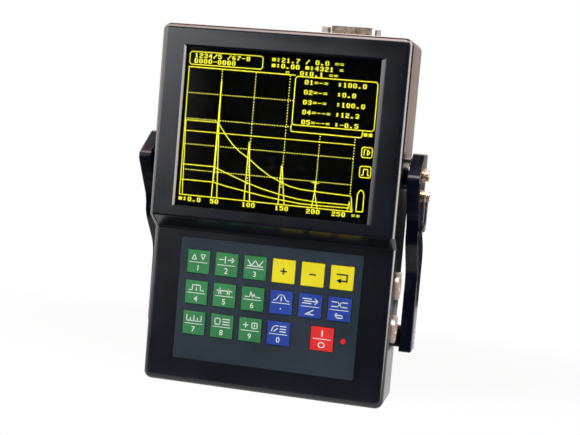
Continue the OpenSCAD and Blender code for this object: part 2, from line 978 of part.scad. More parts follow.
// insulating body of the data port with its two rows of contact holes
module port_insert() color(rubber_tone) at_port() difference() {
  translate([0, 0, -port_body_len])
    linear_extrude(port_body_len + flange_h + port_shell_h - port_lip)
      port_outline(port_shell_w - 2 * port_shell_wall, port_shell_t - 2 * port_shell_wall);
  for (row = [0, 1], i = [0:7 - row])
    translate([
      (i - (7 - row) / 2) * pin_pitch, (row - 0.5) * pin_row_gap,
      flange_h + port_shell_h - port_lip - pin_bore_len
    ])
      cylinder(h = pin_bore_len + over, r = pin_r, $fn = 16);
}

module port_jack_posts() color(steel_tone) at_port()
  for (side = [-1, 1])
    translate([side * post_pitch / 2, 0, 0])
      difference() {
        union() {
          translate([0, 0, flange_h])
            cylinder(h = jack_h, r = jack_r, $fn = 6);
          translate([0, 0, -jack_stem_len])
            cylinder(h = jack_stem_len + flange_h, r = jack_stem_r);
        }
        translate([0, 0, flange_h])
          cylinder(h = jack_h + over, r = jack_bore_r);
      }

module probe_sockets() color(brass_tone) at_sockets() difference() {
  union() {
    rod_x(side_x, side_x + flange_proud, socket_r);
    rod_x(side_x - case_wall - barrel_len, side_x, barrel_r);
  }
  rod_x(side_x - case_wall - barrel_len - over, side_x + flange_proud + over, socket_bore_r);
}

module probe_socket_nuts() color(steel_tone) at_sockets() difference() {
  translate([side_x - case_wall - socket_nut_t, 0, 0])
    rotate([0, 90, 0])
      cylinder(h = socket_nut_t, r = socket_nut_r, $fn = 6);
  rod_x(side_x - case_wall - socket_nut_t - over, side_x - case_wall + over, barrel_r);
}

module probe_insulators() color(insulator_tone) at_sockets() difference() {
  rod_x(
    side_x - case_wall - barrel_len, side_x - case_wall - barrel_len + plug_len, socket_bore_r
  );
  rod_x(
    side_x - case_wall - barrel_len - over,
    side_x - case_wall - barrel_len + plug_len + over, contact_r
  );
}

module probe_contacts() color(brass_tone) at_sockets()
  rod_x(
    side_x - case_wall - barrel_len - tail_len,
    side_x + flange_proud - contact_recess, contact_r
  );

module pivot_inserts() color(brass_tone) both_sides() at_pivot() difference() {
  rod_x(side_x - case_wall - insert_len, side_x + boss_proud, insert_r);
  rod_x(side_x - case_wall - insert_len - over, side_x + boss_proud + over, pivot_r);
}

module pivot_washers() color(steel_tone) both_sides() at_pivot() difference() {
  rod_x(side_x + boss_proud, side_x + boss_proud + washer_t, boss_r - case_wall);
  rod_x(side_x + boss_proud - over, side_x + boss_proud + washer_t + over, pivot_r);
}

// shoulder screw that an arm turns on, with a slotted head outside the arm
module pivot_screws() color(brass_tone) both_sides() at_pivot() difference() {
  union() {
    rod_x(side_x - case_wall - insert_len, arm_x + arm_t + flat_gap, pivot_r);
    rod_x(arm_x + arm_t + flat_gap, arm_x + arm_t + flat_gap + pivot_head_t, pivot_head_r);
  }
  along_x(
    arm_x + arm_t + flat_gap + pivot_head_t - pivot_slot_t,
    arm_x + arm_t + flat_gap + pivot_head_t + over
  )
    square([2 * pivot_head_r + over, pivot_slot_w], center = true);
}

// side view of an arm: a ridged hub, a waist and a straight limb behind the case
module arm_outline() {
  hub = at(pivot_depth);
  polygon([
    [hub - hub_front, pivot_h + hub_top],
    [hub - hub_reach, pivot_h - ridge_drop + ridge_half],
    [hub - hub_reach, pivot_h - ridge_drop - ridge_half],
    [hub - hub_front, pivot_h - waist_drop],
    [hub - hub_front, pivot_h - waist_drop - waist_h],
    [at(limb_depth), pivot_h - limb_drop],
    [at(limb_depth), limb_end_h],
    [at(limb_depth + limb_w), limb_end_h],
    [at(limb_depth + limb_w), pivot_h - heel_drop - 2 * heel_out],
    [at(limb_depth + limb_w) - heel_out, pivot_h - heel_drop],
    [hub + hub_back, pivot_h - waist_back_drop],
    [hub + hub_back, pivot_h + hub_top]
  ]);
}

module at_bar_screws() {
  for (rise = [-1, 1])
    translate([0, at(bar_depth + bar_t / 2), bar_mid_h + rise * bar_screw_rise])
      children();
}

module at_lug() {
  translate([0, at(lug_depth), pivot_h - lug_drop])
    children();
}

// arm on the right side; the left one is its mirror image, without the lug's hole
module handle_arm() color(handle_black) difference() {
  along_x(arm_x, arm_x + arm_t)
    arm_outline();
  at_pivot()
    rod_x(arm_x - over, arm_x + arm_t + over, bush_r);
  at_bar_screws() {
    rod_x(arm_x - over, arm_x + arm_t + over, screw_r);
    rod_x(arm_x + arm_t - bar_head_t, arm_x + arm_t + over, bar_head_r);
  }
}

module handle_arm_right() color(handle_black) difference() {
  handle_arm();
  at_lug()
    rod_x(arm_x + arm_t - lug_stem_len, arm_x + arm_t + over, lug_stem_r);
}
module handle_arm_left() mirror([1, 0, 0]) handle_arm();

module pivot_bushes() color(insulator_tone) both_sides() at_pivot() difference() {
  rod_x(arm_x, arm_x + arm_t, bush_r);
  rod_x(arm_x - over, arm_x + arm_t + over, pivot_r + run_gap);
}

module bar_section(grow) {
  translate([at(bar_depth + bar_t / 2), bar_mid_h])
    round_rect(bar_t + 2 * grow, bar_h + 2 * grow, bar_round + grow);
}

module handle_bar() color(handle_black) difference() {
  along_x(-arm_x, arm_x)
    bar_section(0);
  both_sides()
    at_bar_screws()
      rod_x(arm_x - bar_screw_len, arm_x + over, screw_r);
}

module handle_grip() color(rubber_tone)
  along_x(-grip_w / 2, grip_w / 2)
    difference() {
      bar_section(grip_t);
      bar_section(0);
    }

module handle_bar_screws() color(steel_tone) both_sides() at_bar_screws() difference() {
  union() {
    rod_x(arm_x - bar_screw_len, arm_x + arm_t - bar_head_t, screw_r);
    rod_x(arm_x + arm_t - bar_head_t, arm_x + arm_t, bar_head_r);
  }
  along_x(arm_x + arm_t - bar_head_t / 2, arm_x + arm_t + over)
    square([2 * bar_head_r + over, bar_head_r / 3], center = true);
}

// stud with a cross hole that the strap ring hangs in
module strap_lug() color(brass_tone) at_lug() difference() {
  union() {
    rod_x(arm_x + arm_t - lug_stem_len, arm_x + arm_t, lug_stem_r);
    rod_x(arm_x + arm_t, ring_x + wire_r + lug_cap, lug_r);
  }
  translate([ring_x, lug_r + over, 0])
    rotate([90, 0, 0])
      cylinder(h = 2 * lug_r + 2 * over, r = wire_r + 2 * run_gap);
}

// closed wire ring that hangs from the lug, in the plane of Y and Z
module wire_ring() {
  flat = ring_w / 2 - ring_corner;
  for (up = [0, 1])
    translate([0, flat, -up * ring_h])
      rotate([90, 0, 0])
        cylinder(h = 2 * flat, r = wire_r);
  for (side = [-1, 1])
    translate([0, side * ring_w / 2, -ring_h + ring_corner])
      cylinder(h = ring_h - 2 * ring_corner, r = wire_r);
  // a quarter bend at each corner, counted counterclockwise
  for (i = [0:3])
    translate([
      0, (i == 0 || i == 3 ? 1 : -1) * flat, i < 2 ? -ring_corner : ring_corner - ring_h
    ])
      rotate([90, 0, 90])
        rotate([0, 0, 90 * i])
          rotate_extrude(angle = 90)
            translate([ring_corner, 0])
              circle(wire_r);
}

module strap_ring() color(handle_black)
  translate([ring_x, 0, 0])
    at_lug()
      wire_ring();

front_shell();
rear_shell();
case_seal();
case_screws();
screen_window();
display_panel();
display_frame();
display_driver_board();
board_screws();
keypad_overlay();
keypad_board();
key_domes();
led_indicator();
key_1();
key_2();
key_3();
key_4();
key_5();
key_6();
key_7();
key_8();
key_9();
key_0();
key_plus();
key_minus();
key_enter();
key_envelope();
key_velocity();
key_channel();
key_power();
main_board();
pulser_board();
pulser_shield();
board_spacers();
buzzer();
keypad_ribbon();
battery_pack();
battery_contacts();
battery_cover();
battery_cover_screws();
port_shell();
port_insert();
port_jack_posts();
probe_sockets();
probe_socket_nuts();
probe_insulators();
probe_contacts();
pivot_inserts();
pivot_washers();
pivot_screws();
handle_arm_left();
handle_arm_right();
pivot_bushes();
handle_bar();
handle_grip();
handle_bar_screws();
strap_lug();
strap_ring();
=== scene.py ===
import math
import bpy
from mathutils import Matrix, Vector


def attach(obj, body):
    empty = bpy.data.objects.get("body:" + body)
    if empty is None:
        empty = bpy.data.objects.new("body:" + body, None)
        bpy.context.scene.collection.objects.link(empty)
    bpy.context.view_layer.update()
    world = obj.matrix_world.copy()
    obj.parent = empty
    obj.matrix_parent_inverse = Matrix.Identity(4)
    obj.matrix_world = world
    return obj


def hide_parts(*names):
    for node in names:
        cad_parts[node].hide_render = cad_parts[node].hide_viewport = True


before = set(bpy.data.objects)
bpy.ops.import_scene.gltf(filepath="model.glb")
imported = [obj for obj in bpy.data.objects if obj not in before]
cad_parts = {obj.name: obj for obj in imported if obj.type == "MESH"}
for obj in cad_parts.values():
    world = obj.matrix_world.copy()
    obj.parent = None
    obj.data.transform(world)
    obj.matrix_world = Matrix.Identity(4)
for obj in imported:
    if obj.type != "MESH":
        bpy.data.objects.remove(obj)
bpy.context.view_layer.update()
mm = 0.001
hair = 0.02 * mm  # two places closer than this are the same place
margin = 1 * mm  # a cutter reaches this far past what it cuts

# picking and placing


def inMetres(**lengths):  # a piece's lengths, given in mm
    return {name: tuple(v * mm for v in value) if isinstance(value, tuple) else value * mm
            for name, value in lengths.items()}


def pick(*pieces):
    if bpy.context.object and bpy.context.object.mode != "OBJECT":
        bpy.ops.object.mode_set(mode="OBJECT")
    bpy.ops.object.select_all(action="DESELECT")
    for piece in pieces:
        piece.select_set(True)
    if pieces:
        bpy.context.view_layer.objects.active = pieces[0]


def settle(piece, name=""):  # the place goes into the mesh, and the object sits at the origin
    piece.name = name or piece.name
    pick(piece)
    bpy.ops.object.transform_apply(location=True, rotation=True, scale=True)
    return piece


def addBlock(name, low, high):  # box between two corners
    pick()
    bpy.ops.mesh.primitive_cube_add(
        size=1, location=[(a + b) / 2 for a, b in zip(low, high)],
        scale=[b - a for a, b in zip(low, high)])
    return settle(bpy.context.object, name)


def addRod(name, start, axis, length, radius):  # round bar from a start along x or y
    pick()
    middle = Vector(start)
    middle["xyz".index(axis)] += length / 2
    turn = {"x": (0, math.pi / 2, 0), "y": (-math.pi / 2, 0, 0)}[axis]
    bpy.ops.mesh.primitive_cylinder_add(
        vertices=48, radius=radius, depth=abs(length), location=middle, rotation=turn)
    return settle(bpy.context.object, name)


def openParts(piece, kind, wanted):  # edit mode with only the wanted faces, edges or points selected
    pick(piece)
    bpy.ops.object.mode_set(mode="EDIT")
    bpy.ops.mesh.select_mode(type=kind)
    bpy.ops.mesh.select_all(action="DESELECT")
    bpy.ops.object.mode_set(mode="OBJECT")
    mesh = piece.data
    for part in {"FACE": mesh.polygons, "EDGE": mesh.edges, "VERT": mesh.vertices}[kind]:
        part.select = wanted(part)
    bpy.ops.object.mode_set(mode="EDIT")


def openFaces(piece, wanted):
    openParts(piece, "FACE", lambda face: wanted(face.center, face.normal))


def openEdges(piece, wanted):  # picked by their two ends
    openParts(piece, "EDGE", lambda edge: wanted(*(piece.data.vertices[end].co for end in edge.vertices)))


def openPoints(piece, wanted):
    openParts(piece, "VERT", lambda point: wanted(point.co))


def openRim(piece, inside, outside):  # edges between the faces of one kind and of another
    sides = {}
    for face in piece.data.polygons:
        kinds = inside(face.center, face.normal), outside(face.center, face.normal)
        for key in face.edge_keys:
            sides.setdefault(key, []).append(kinds)

    def onRim(edge):
        pair = sides.get(edge.key, [])
        return len(pair) == 2 and any(a for a, b in pair) and any(b for a, b in pair)
    openParts(piece, "EDGE", onRim)


def openAll(piece):
    pick(piece)
    bpy.ops.object.mode_set(mode="EDIT")
    bpy.ops.mesh.select_all(action="SELECT")


def closeEdit():
    bpy.ops.object.mode_set(mode="OBJECT")


def bevelOpen(width, segments, kind="EDGES"):  # bevels what is selected, and leaves edit mode
    bpy.ops.mesh.bevel(offset=width, offset_type="OFFSET", segments=segments,
                       affect=kind, clamp_overlap=False)
    closeEdit()


def bevelRim(piece, toward, width, segments, least=0.9):  # rounds the rim of what faces one way
    way = Vector(toward)
    openRim(piece, lambda c, n: n.dot(way) > least, lambda c, n: abs(n.dot(way)) < 0.1)
    bevelOpen(width, segments)


def bevelAlong(piece, axis, width, segments):  # rounds the edges that run along an axis
    openEdges(piece, lambda a, b: abs(getattr(a, axis) - getattr(b, axis)) > hair)
    bevelOpen(width, segments)


def extrudeOpen(step):
    bpy.ops.mesh.extrude_region_move(TRANSFORM_OT_translate={"value": step})
    closeEdit()


def movePoints(piece, wanted, step):
    openPoints(piece, wanted)
    bpy.ops.transform.translate(value=step)
    closeEdit()


def faceOut(piece):  # every face points outwards
    openAll(piece)
    bpy.ops.mesh.normals_make_consistent(inside=False)
    closeEdit()


def cutAt(piece, place, normal, drop=False):  # splits the mesh, or drops what is beyond
    openAll(piece)
    bpy.ops.mesh.bisect(plane_co=place, plane_no=normal, use_fill=drop, clear_outer=drop)
    closeEdit()


def applyModifier(piece, kind, **values):
    pick(piece)
    modifier = piece.modifiers.new(kind.lower(), kind)
    for key, value in values.items():
        setattr(modifier, key, value)
    bpy.ops.object.modifier_apply(modifier=modifier.name)


def cutAway(piece, cutter, operation="DIFFERENCE"):  # or joined on, with UNION
    applyModifier(piece, "BOOLEAN", operation=operation, solver="EXACT", object=cutter)
    bpy.data.objects.remove(cutter)


def drill(piece, floor, axis, depth, radius):  # a round hole from its floor outwards
    cutAway(piece, addRod("drill", floor, axis, depth + math.copysign(margin, depth), radius))


def copyPiece(piece, name, shift=(0, 0, 0)):  # a copy with its own mesh
    copy = piece.copy()
    copy.data = piece.data.copy()
    bpy.context.collection.objects.link(copy)
    copy.location = shift
    return settle(copy, name)


def joinPieces(name, pieces):
    pick(*pieces)
    if len(pieces) > 1:
        bpy.ops.object.join()
    joined = bpy.context.object
    joined.name = name
    return joined


def mirrorPiece(piece, name):  # the same piece on the other side of the middle plane
    copy = copyPiece(piece, name)
    copy.scale = (-1, 1, 1)
    faceOut(settle(copy))
    return copy


def finishPiece(piece, body, finish, node="", smooth=28):
    pick(piece)
    if smooth:
        bpy.ops.object.shade_smooth_by_angle(angle=math.radians(smooth))
        applyModifier(piece, "WEIGHTED_NORMAL", keep_sharp=True, weight=80)
    piece.data.materials.clear()
    piece.data.materials.append(finishes[finish])
    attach(piece, body)
    if node:
        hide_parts(node)


# shader nodes


def feed(node, inputs):  # each input gets another node's output, or a value
    for key, value in inputs.items():
        if isinstance(value, bpy.types.NodeSocket):
            node.id_data.links.new(value, node.inputs[key])
        else:
            node.inputs[key].default_value = value


def put(tree, kind, inputs={}, **settings):  # adds a node, and gives its outputs
    node = tree.nodes.new("ShaderNode" + kind)
    for key, value in settings.items():
        setattr(node, key, value)
    feed(node, inputs)
    return node.outputs


def calc(tree, operation, first, second, clamp=False):
    return put(tree, "Math", {0: first, 1: second}, operation=operation, use_clamp=clamp)[0]


def times(tree, first, second):
    return calc(tree, "MULTIPLY", first, second)


def ramp(tree, value, low, high, toLow=0.0, toHigh=1.0, soft=False):  # soft eases both its ends
    return put(tree, "MapRange", {"Value": value, "From Min": low, "From Max": high,
                                  "To Min": toLow, "To Max": toHigh},
               interpolation_type="SMOOTHSTEP" if soft else "LINEAR")["Result"]


def cloud(tree, place, scale, detail, rough):
    return put(tree, "TexNoise", {"Vector": place, "Scale": scale, "Detail": detail,
                                  "Roughness": rough})["Fac"]


def mixTones(tree, share, first, second):
    return put(tree, "Mix", {0: share, 6: first, 7: second}, data_type="RGBA")[2]


def newGroup(name, inputs, outputs):  # gives the group, what its inputs put out, and its end
    group = bpy.data.node_groups.new(name, "ShaderNodeTree")
    for label, kind, value in inputs:
        socket = group.interface.new_socket(name=label, in_out="INPUT", socket_type="NodeSocket" + kind)
        socket.default_value = value
    for label, kind in outputs:
        group.interface.new_socket(name=label, in_out="OUTPUT", socket_type="NodeSocket" + kind)
    return group, group.nodes.new("NodeGroupInput").outputs, group.nodes.new("NodeGroupOutput")


def makeDrift():  # two close tones that drift into each other
    group, start, end = newGroup(
        "toneDrift", [("Tone A", "Color", (0.02, 0.02, 0.02, 1)), ("Tone B", "Color", (0.03, 0.03, 0.03, 1)),
                      ("Scale", "Float", 40.0)], [("Colour", "Color"), ("Mask", "Float")])
    place = put(group, "TexCoord")["Object"]
    share = ramp(group, cloud(group, place, start["Scale"], 4.0, 0.55), 0.35, 0.65)
    feed(end, {"Colour": mixTones(group, share, start["Tone A"], start["Tone B"]), "Mask": share})
    return group


def makeGrain():  # fine height of a moulded or brushed surface
    group, start, end = newGroup(
        "surfaceGrain", [("Scale", "Float", 1500.0), ("Stretch", "Vector", (1, 1, 1)),
                         ("Cells", "Float", 0.5)], [("Height", "Float")])
    place = put(group, "Mapping", {"Vector": put(group, "TexCoord")["Object"],
                                   "Scale": start["Stretch"]})["Vector"]
    speck = cloud(group, place, start["Scale"], 3.0, 0.6)
    cell = put(group, "TexVoronoi", {"Vector": place, "Scale": start["Scale"]},
               feature="SMOOTH_F1")["Distance"]
    feed(end, {"Height": put(group, "Mix", {0: start["Cells"], 2: speck, 3: cell}, data_type="FLOAT")[0]})
    return group


def makeWear():  # rubbed edges: where a normal lies between the axes, in patches
    group, start, end = newGroup(
        "edgeWear", [("Scale", "Float", 180.0), ("Amount", "Float", 0.3)], [("Mask", "Float")])
    place = put(group, "TexCoord")
    size = put(group, "VectorMath", {0: place["Normal"]}, operation="ABSOLUTE")[0]
    parts = put(group, "SeparateXYZ", {0: size})
    most = calc(group, "MAXIMUM", calc(group, "MAXIMUM", parts["X"], parts["Y"]), parts["Z"])
    edge = ramp(group, most, 0.97, 0.78, soft=True)
    patch = ramp(group, cloud(group, place["Object"], start["Scale"], 6.0, 0.7), 0.5, 0.68, soft=True)
    feed(end, {"Mask": times(group, times(group, edge, patch), start["Amount"])})
    return group


def makeDust():  # light dust in patches on what faces up, and specks all over
    group, start, end = newGroup(
        "settledDust", [("Scale", "Float", 300.0), ("Amount", "Float", 0.1)], [("Mask", "Float")])
    place = put(group, "TexCoord")
    up = ramp(group, put(group, "SeparateXYZ", {0: place["Normal"]})["Z"], -0.2, 1.0, toLow=0.25)
    patch = ramp(group, cloud(group, place["Object"], start["Scale"], 8.0, 0.75), 0.45, 0.75)
    feed(end, {"Mask": times(group, times(group, up, patch), start["Amount"])})
    return group


groups = {"drift": makeDrift(), "grain": makeGrain(), "wear": makeWear(), "dust": makeDust()}


def useGroup(tree, name, inputs):
    return put(tree, "Group", inputs, node_tree=groups[name])


def tone(red, green, blue):  # a colour as seen on the screen, 0 to 255
    return tuple((c / 255 / 12.92 if c <= 10 else ((c / 255 + 0.055) / 1.055) ** 2.4)
                 for c in (red, green, blue)) + (1.0,)


def newMaterial(name):
    material = bpy.data.materials.new(name)
    material.use_nodes = True
    return material, material.node_tree, material.node_tree.nodes["Principled BSDF"]


# what a finish has where its own look gives nothing else
plainLook = dict(metal=0, ior=1.5, coat=0, coatRough=0.15, rough=0.4, roughSpread=0.06, driftScale=45,
                 wear=0.2, wearScale=220, wearTone=(120, 120, 122), dust=0.06, dustScale=320,
                 dustTone=(150, 145, 138), grain=1600, cells=0.5, stretch=(1, 1, 1), bump=0.25,
                 bumpDepth=0.00006)


def makeFinish(name, look):  # opaque finish from the shared groups, with values of its own
    look = {**plainLook, **look}
    material, tree, shader = newMaterial(name)
    first, second = (tone(*values) for values in look["tones"])
    drift = useGroup(tree, "drift", {"Tone A": first, "Tone B": second, "Scale": look["driftScale"]})
    wear = useGroup(tree, "wear", {"Scale": look["wearScale"], "Amount": look["wear"]})["Mask"]
    dust = useGroup(tree, "dust", {"Scale": look["dustScale"], "Amount": look["dust"]})["Mask"]
    height = useGroup(tree, "grain", {"Scale": look["grain"], "Cells": look["cells"],
                                      "Stretch": look["stretch"]})["Height"]
    worn = mixTones(tree, wear, drift["Colour"], tone(*look["wearTone"]))
    dusty = mixTones(tree, dust, worn, tone(*look["dustTone"]))
    rough = ramp(tree, drift["Mask"], 0.0, 1.0, look["rough"] - look["roughSpread"],
                 look["rough"] + look["roughSpread"])
    bump = put(tree, "Bump", {"Height": height, "Strength": look["bump"], "Distance": look["bumpDepth"]})
    feed(shader, {"Base Color": dusty, "Roughness": calc(tree, "ADD", rough, dust, clamp=True),
                  "Normal": bump["Normal"], "Metallic": look["metal"], "IOR": look["ior"],
                  "Coat Weight": look["coat"], "Coat Roughness": look["coatRough"]})
    return material


def makeGlow(name, bright, dim, power, body):  # lit dots of the screen, and the lamp
    material, tree, shader = newMaterial(name)
    share = ramp(tree, cloud(tree, put(tree, "TexCoord")["Object"], 700.0, 2.0, 0.5), 0.3, 0.6)
    feed(shader, {"Base Color": tone(*body), "Roughness": 0.5, "Emission Strength": power,
                  "Emission Color": mixTones(tree, share, tone(*dim), tone(*bright))})
    return material


def makeGlass(name, tint, haze):
    material, tree, shader = newMaterial(name)
    dust = useGroup(tree, "dust", {"Scale": 260.0, "Amount": haze})["Mask"]
    feed(shader, {"Base Color": tone(*tint), "IOR": 1.2, "Transmission Weight": 1.0,
                  "Roughness": ramp(tree, dust, 0.0, 1.0, 0.0, 0.1)})
    return material


# finishes

filmLook = dict(ior=1.38, rough=0.4, grain=4200, bump=0.15, wear=0.08, dust=0.03)
inkLook = dict(rough=0.5, grain=5000, bump=0.1, wear=0.0, dust=0.03)
looks = {
    "casePlastic": dict(tones=((15, 18, 23), (20, 24, 30)), rough=0.215, roughSpread=0.02, grain=1500,
                        cells=0.6, bump=0.14, wear=0.05, dust=0.02, wearTone=(90, 90, 92),
                        dustTone=(120, 116, 110)),
    "handlePlastic": dict(tones=((8, 12, 24), (12, 17, 31)), ior=1.3, rough=0.25, grain=1900, bump=0.14,
                          wear=0.07, dust=0.02, wearTone=(90, 92, 98), dustTone=(120, 116, 110)),
    "gripRubber": dict(tones=((22, 22, 24), (28, 28, 30)), rough=0.7, grain=2600, cells=0.8, bump=0.5,
                       wear=0.05, dust=0.12),
    "overlayFilm": dict(filmLook, tones=((38, 48, 57), (44, 55, 65)), ior=1.33, wear=0.03, driftScale=25),
    "greenFilm": dict(filmLook, tones=((52, 126, 74), (60, 136, 82)), wearTone=(150, 190, 160)),
    "yellowFilm": dict(filmLook, tones=((246, 230, 34), (252, 238, 46)), dust=0.02, wearTone=(255, 250, 170)),
    "blueFilm": dict(filmLook, tones=((40, 68, 160), (48, 78, 172)), wearTone=(140, 160, 215)),
    "redFilm": dict(filmLook, tones=((232, 42, 42), (240, 56, 52)), dust=0.02, wearTone=(250, 150, 140)),
    "whiteInk": dict(inkLook, tones=((232, 240, 234), (244, 248, 245))),
    "blackInk": dict(inkLook, tones=((16, 15, 10), (24, 22, 14))),
    "socketNickel": dict(tones=((236, 212, 196), (246, 226, 212)), metal=0.35, rough=0.28, grain=2600,
                         stretch=(0.2, 1, 1), bump=0.1, wear=0.06, dust=0.05, wearTone=(250, 244, 236)),
    "portMetal": dict(tones=((150, 133, 116), (176, 159, 141)), metal=0.9, rough=0.28, driftScale=260,
                      grain=2500, cells=0.0, bump=0.03, wear=0.02, dust=0.02),
    "turnedSteel": dict(tones=((196, 192, 186), (214, 210, 204)), metal=1.0, rough=0.3, grain=2500,
                        stretch=(1, 1, 0.15), bump=0.12, wear=0.1, dust=0.08),
    "darkWire": dict(tones=((34, 34, 36), (52, 52, 54)), metal=0.6, rough=0.35, grain=3000, bump=0.15,
                     wear=0.3, dust=0.05, wearTone=(170, 168, 165)),
    "brass": dict(tones=((222, 184, 152), (234, 200, 172)), metal=0.7, rough=0.32, grain=2600,
                  stretch=(0.2, 1, 1), bump=0.12, wear=0.1, wearTone=(245, 228, 205)),
    "paleInsulator": dict(tones=((232, 222, 204), (240, 232, 216)), rough=0.45, grain=2200, bump=0.12,
                          wear=0.05, dust=0.05),
    "blackInsert": dict(tones=((30, 30, 32), (38, 38, 40)), rough=0.5, grain=2400, bump=0.2, wear=0.05),
    "boardGreen": dict(tones=((24, 84, 48), (32, 100, 58)), rough=0.38, grain=900, cells=0.9, bump=0.2,
                       wear=0.02, driftScale=260, coat=0.4),
    "ribbonGrey": dict(tones=((182, 184, 190), (196, 198, 204)), rough=0.5, grain=900,
                       stretch=(1, 0.05, 0.05), bump=0.5, dust=0.05),
    "batteryWrap": dict(tones=((34, 58, 108), (42, 68, 122)), rough=0.35, grain=1200, bump=0.15, wear=0.1,
                        coat=0.3),
    "sealRubber": dict(tones=((16, 16, 17), (22, 22, 23)), rough=0.65, grain=2400, bump=0.3, dust=0.08),
    "screenBlack": dict(tones=((5, 5, 4), (8, 8, 6)), ior=1.03, rough=0.5, roughSpread=0.03, grain=2600,
                        bump=0.05, wear=0.0, dust=0.0),
}
glows = {  # bright tone, dim tone, strength, and the tone of what glows
    "traceGlow": ((240, 236, 28), (214, 208, 20), 0.95, (140, 136, 20)),
    "gridGlow": ((240, 238, 90), (222, 218, 70), 2.5, (150, 148, 60)),
    "lampRed": ((216, 24, 34), (190, 14, 24), 0.9, (90, 10, 14)),
}
finishes = {name: makeFinish(name, look) for name, look in looks.items()}
finishes.update({name: makeGlow(name, *glow) for name, glow in glows.items()})
finishes["windowGlass"] = makeGlass("windowGlass", (250, 252, 252), 0.02)
print("finishes made:", len(finishes))

# case

case = dict(inMetres(halfWidth=77, height=224, front=-25, deck=-13, seam=-9, back=25, corner=5,
                     frontRound=4, backRound=4.6, wall=3, slopeLow=98, slopeHigh=106, softEdge=1,
                     seamEdge=0.3),
            slopeRise=1.2019,  # how far the slope moves up for each step inwards
            mitreLean=0.5351)  # how the slope's corner lines lean


def frontForm(name, inset, back):  # deck and screen block as one solid, moved in by a distance
    wide, top = case["halfWidth"] - inset, case["height"] - inset
    deck, front = case["deck"] + inset, case["front"] + inset
    steep = (case["slopeHigh"] - case["slopeLow"]) / (case["deck"] - case["front"])
    rise = inset * (case["slopeRise"] - steep)
    high = case["slopeHigh"] + rise
    block = addBlock(name, (-wide, deck, inset), (wide, back, top))
    for level in (case["slopeLow"] + rise, high):
        cutAt(block, (0, 0, level), (0, 0, 1))
    movePoints(block, lambda p: p.y < deck + hair and p.z > high - hair, (0, front - deck, 0))
    return block


def roundCorners(piece, radius, segments=8):  # the four corner edges along y
    wide = max(p.co.x for p in piece.data.vertices)
    ends = [pickEnd(p.co.z for p in piece.data.vertices) for pickEnd in (min, max)]

    def isCorner(a, b):
        return (abs(a.x - b.x) < hair and abs(a.z - b.z) < hair and abs(abs(a.x) - wide) < hair
                and any(abs(a.z - end) < hair for end in ends))
    openEdges(piece, isCorner)
    bevelOpen(radius, segments)


def buildFrontShell():
    shell = frontForm("frontShell", 0, case["seam"] + 6 * mm)
    roundCorners(shell, case["corner"])
    bevelRim(shell, (0, -1, 0), case["frontRound"], 6, least=0.3)
    for y, z in ((case["front"], case["slopeHigh"]), (case["deck"], case["slopeLow"])):
        openEdges(shell, lambda a, b: all(
            abs(p.z - z - case["mitreLean"] * (p.y - y)) < hair
            and y - hair < p.y < y + case["frontRound"] + hair for p in (a, b)))
        bevelOpen(case["softEdge"], 4)
    cutAt(shell, (0, case["seam"], 0), (0, 1, 0), drop=True)
    bevelRim(shell, (0, 1, 0), case["seamEdge"], 2)
    cutAway(shell, frontForm("hollow", case["wall"], case["seam"] + 2 * mm))
    return shell


windowCut = inMetres(left=-62, right=62.5, low=112.55, high=211.15, depth=1.2, proud=0.5,
                     leftBevel=1.1, rightBevel=3.1, lowBevel=0.3, highBevel=1.3)


def windowCutter():  # a bevel all round, then straight walls down to the glass
    cut = windowCut
    share = cut["proud"] / cut["depth"]  # the bevel goes on a little in front of the case
    cutter = addBlock("windowCutter",
                      (cut["left"] - cut["leftBevel"] * share, case["front"] - cut["proud"],
                       cut["low"] - cut["lowBevel"] * share),
                      (cut["right"] + cut["rightBevel"] * share, case["front"] + cut["depth"],
                       cut["high"] + cut["highBevel"] * share))
    middle = Vector((0, 0, (cut["low"] + cut["high"]) / 2))
    for side, way in (("left", (1, 0, 0)), ("right", (-1, 0, 0)), ("low", (0, 0, 1)), ("high", (0, 0, -1))):
        inward = Vector(way)
        movePoints(cutter, lambda p: p.y > case["front"] and (p - middle).dot(inward) < 0,
                   inward * cut[side + "Bevel"] * (1 + share))
    openFaces(cutter, lambda c, n: n.y > 0.99)  # the end alone, without the bevels
    extrudeOpen((0, case["wall"], 0))
    return cutter


keypad = dict(inMetres(pitchX=18.25, pitchZ=19.4, top=78.1, wide=14.3, high=14.6, corner=1.2, gap=0.35,
                       front=-13.7, rim=1, rimFront=-9.8, rimBack=-8.8, edge=0.3, lampRadius=1.5),
              lampPlace=(5.22, 2))
keyRows = ("key_1 key_2 key_3 key_plus key_minus key_enter",
           "key_4 key_5 key_6 key_envelope key_velocity key_channel", "key_7 key_8 key_9 key_0")
places = {name: (column, row) for row, names in enumerate(keyRows)
          for column, name in enumerate(names.split())}
places["key_power"] = (4.5, 2)


def keyMiddle(column, row):
    return (column - 2.5) * keypad["pitchX"], keypad["top"] - row * keypad["pitchZ"]


def roundPlate(name, wide, high, corner, front, back, middle=(0, 0), segments=5):
    plate = addBlock(name, (middle[0] - wide / 2, front, middle[1] - high / 2),
                     (middle[0] + wide / 2, back, middle[1] + high / 2))
    bevelAlong(plate, "y", corner, segments)
    return plate


def keyCutters(depth):  # the holes of all keys and of the lamp, through the deck's front
    gap, front, back = keypad["gap"], case["deck"] - margin, case["deck"] + depth + margin
    first = roundPlate("keyHole", keypad["wide"] + 2 * gap, keypad["high"] + 2 * gap,
                       keypad["corner"] + gap, front, back)
    holes = []
    for place in places.values():
        x, z = keyMiddle(*place)
        holes.append(copyPiece(first, "keyHole", (x, 0, z)))
    bpy.data.objects.remove(first)
    x, z = keyMiddle(*keypad["lampPlace"])
    holes.append(addRod("lampHole", (x, front, z), "y", back - front, keypad["lampRadius"] + gap))
    return joinPieces("keyHoles", holes)


overlay = inMetres(wide=116, high=77, corner=1.2, gap=0.2, thick=0.5, middle=(0, 54.5))

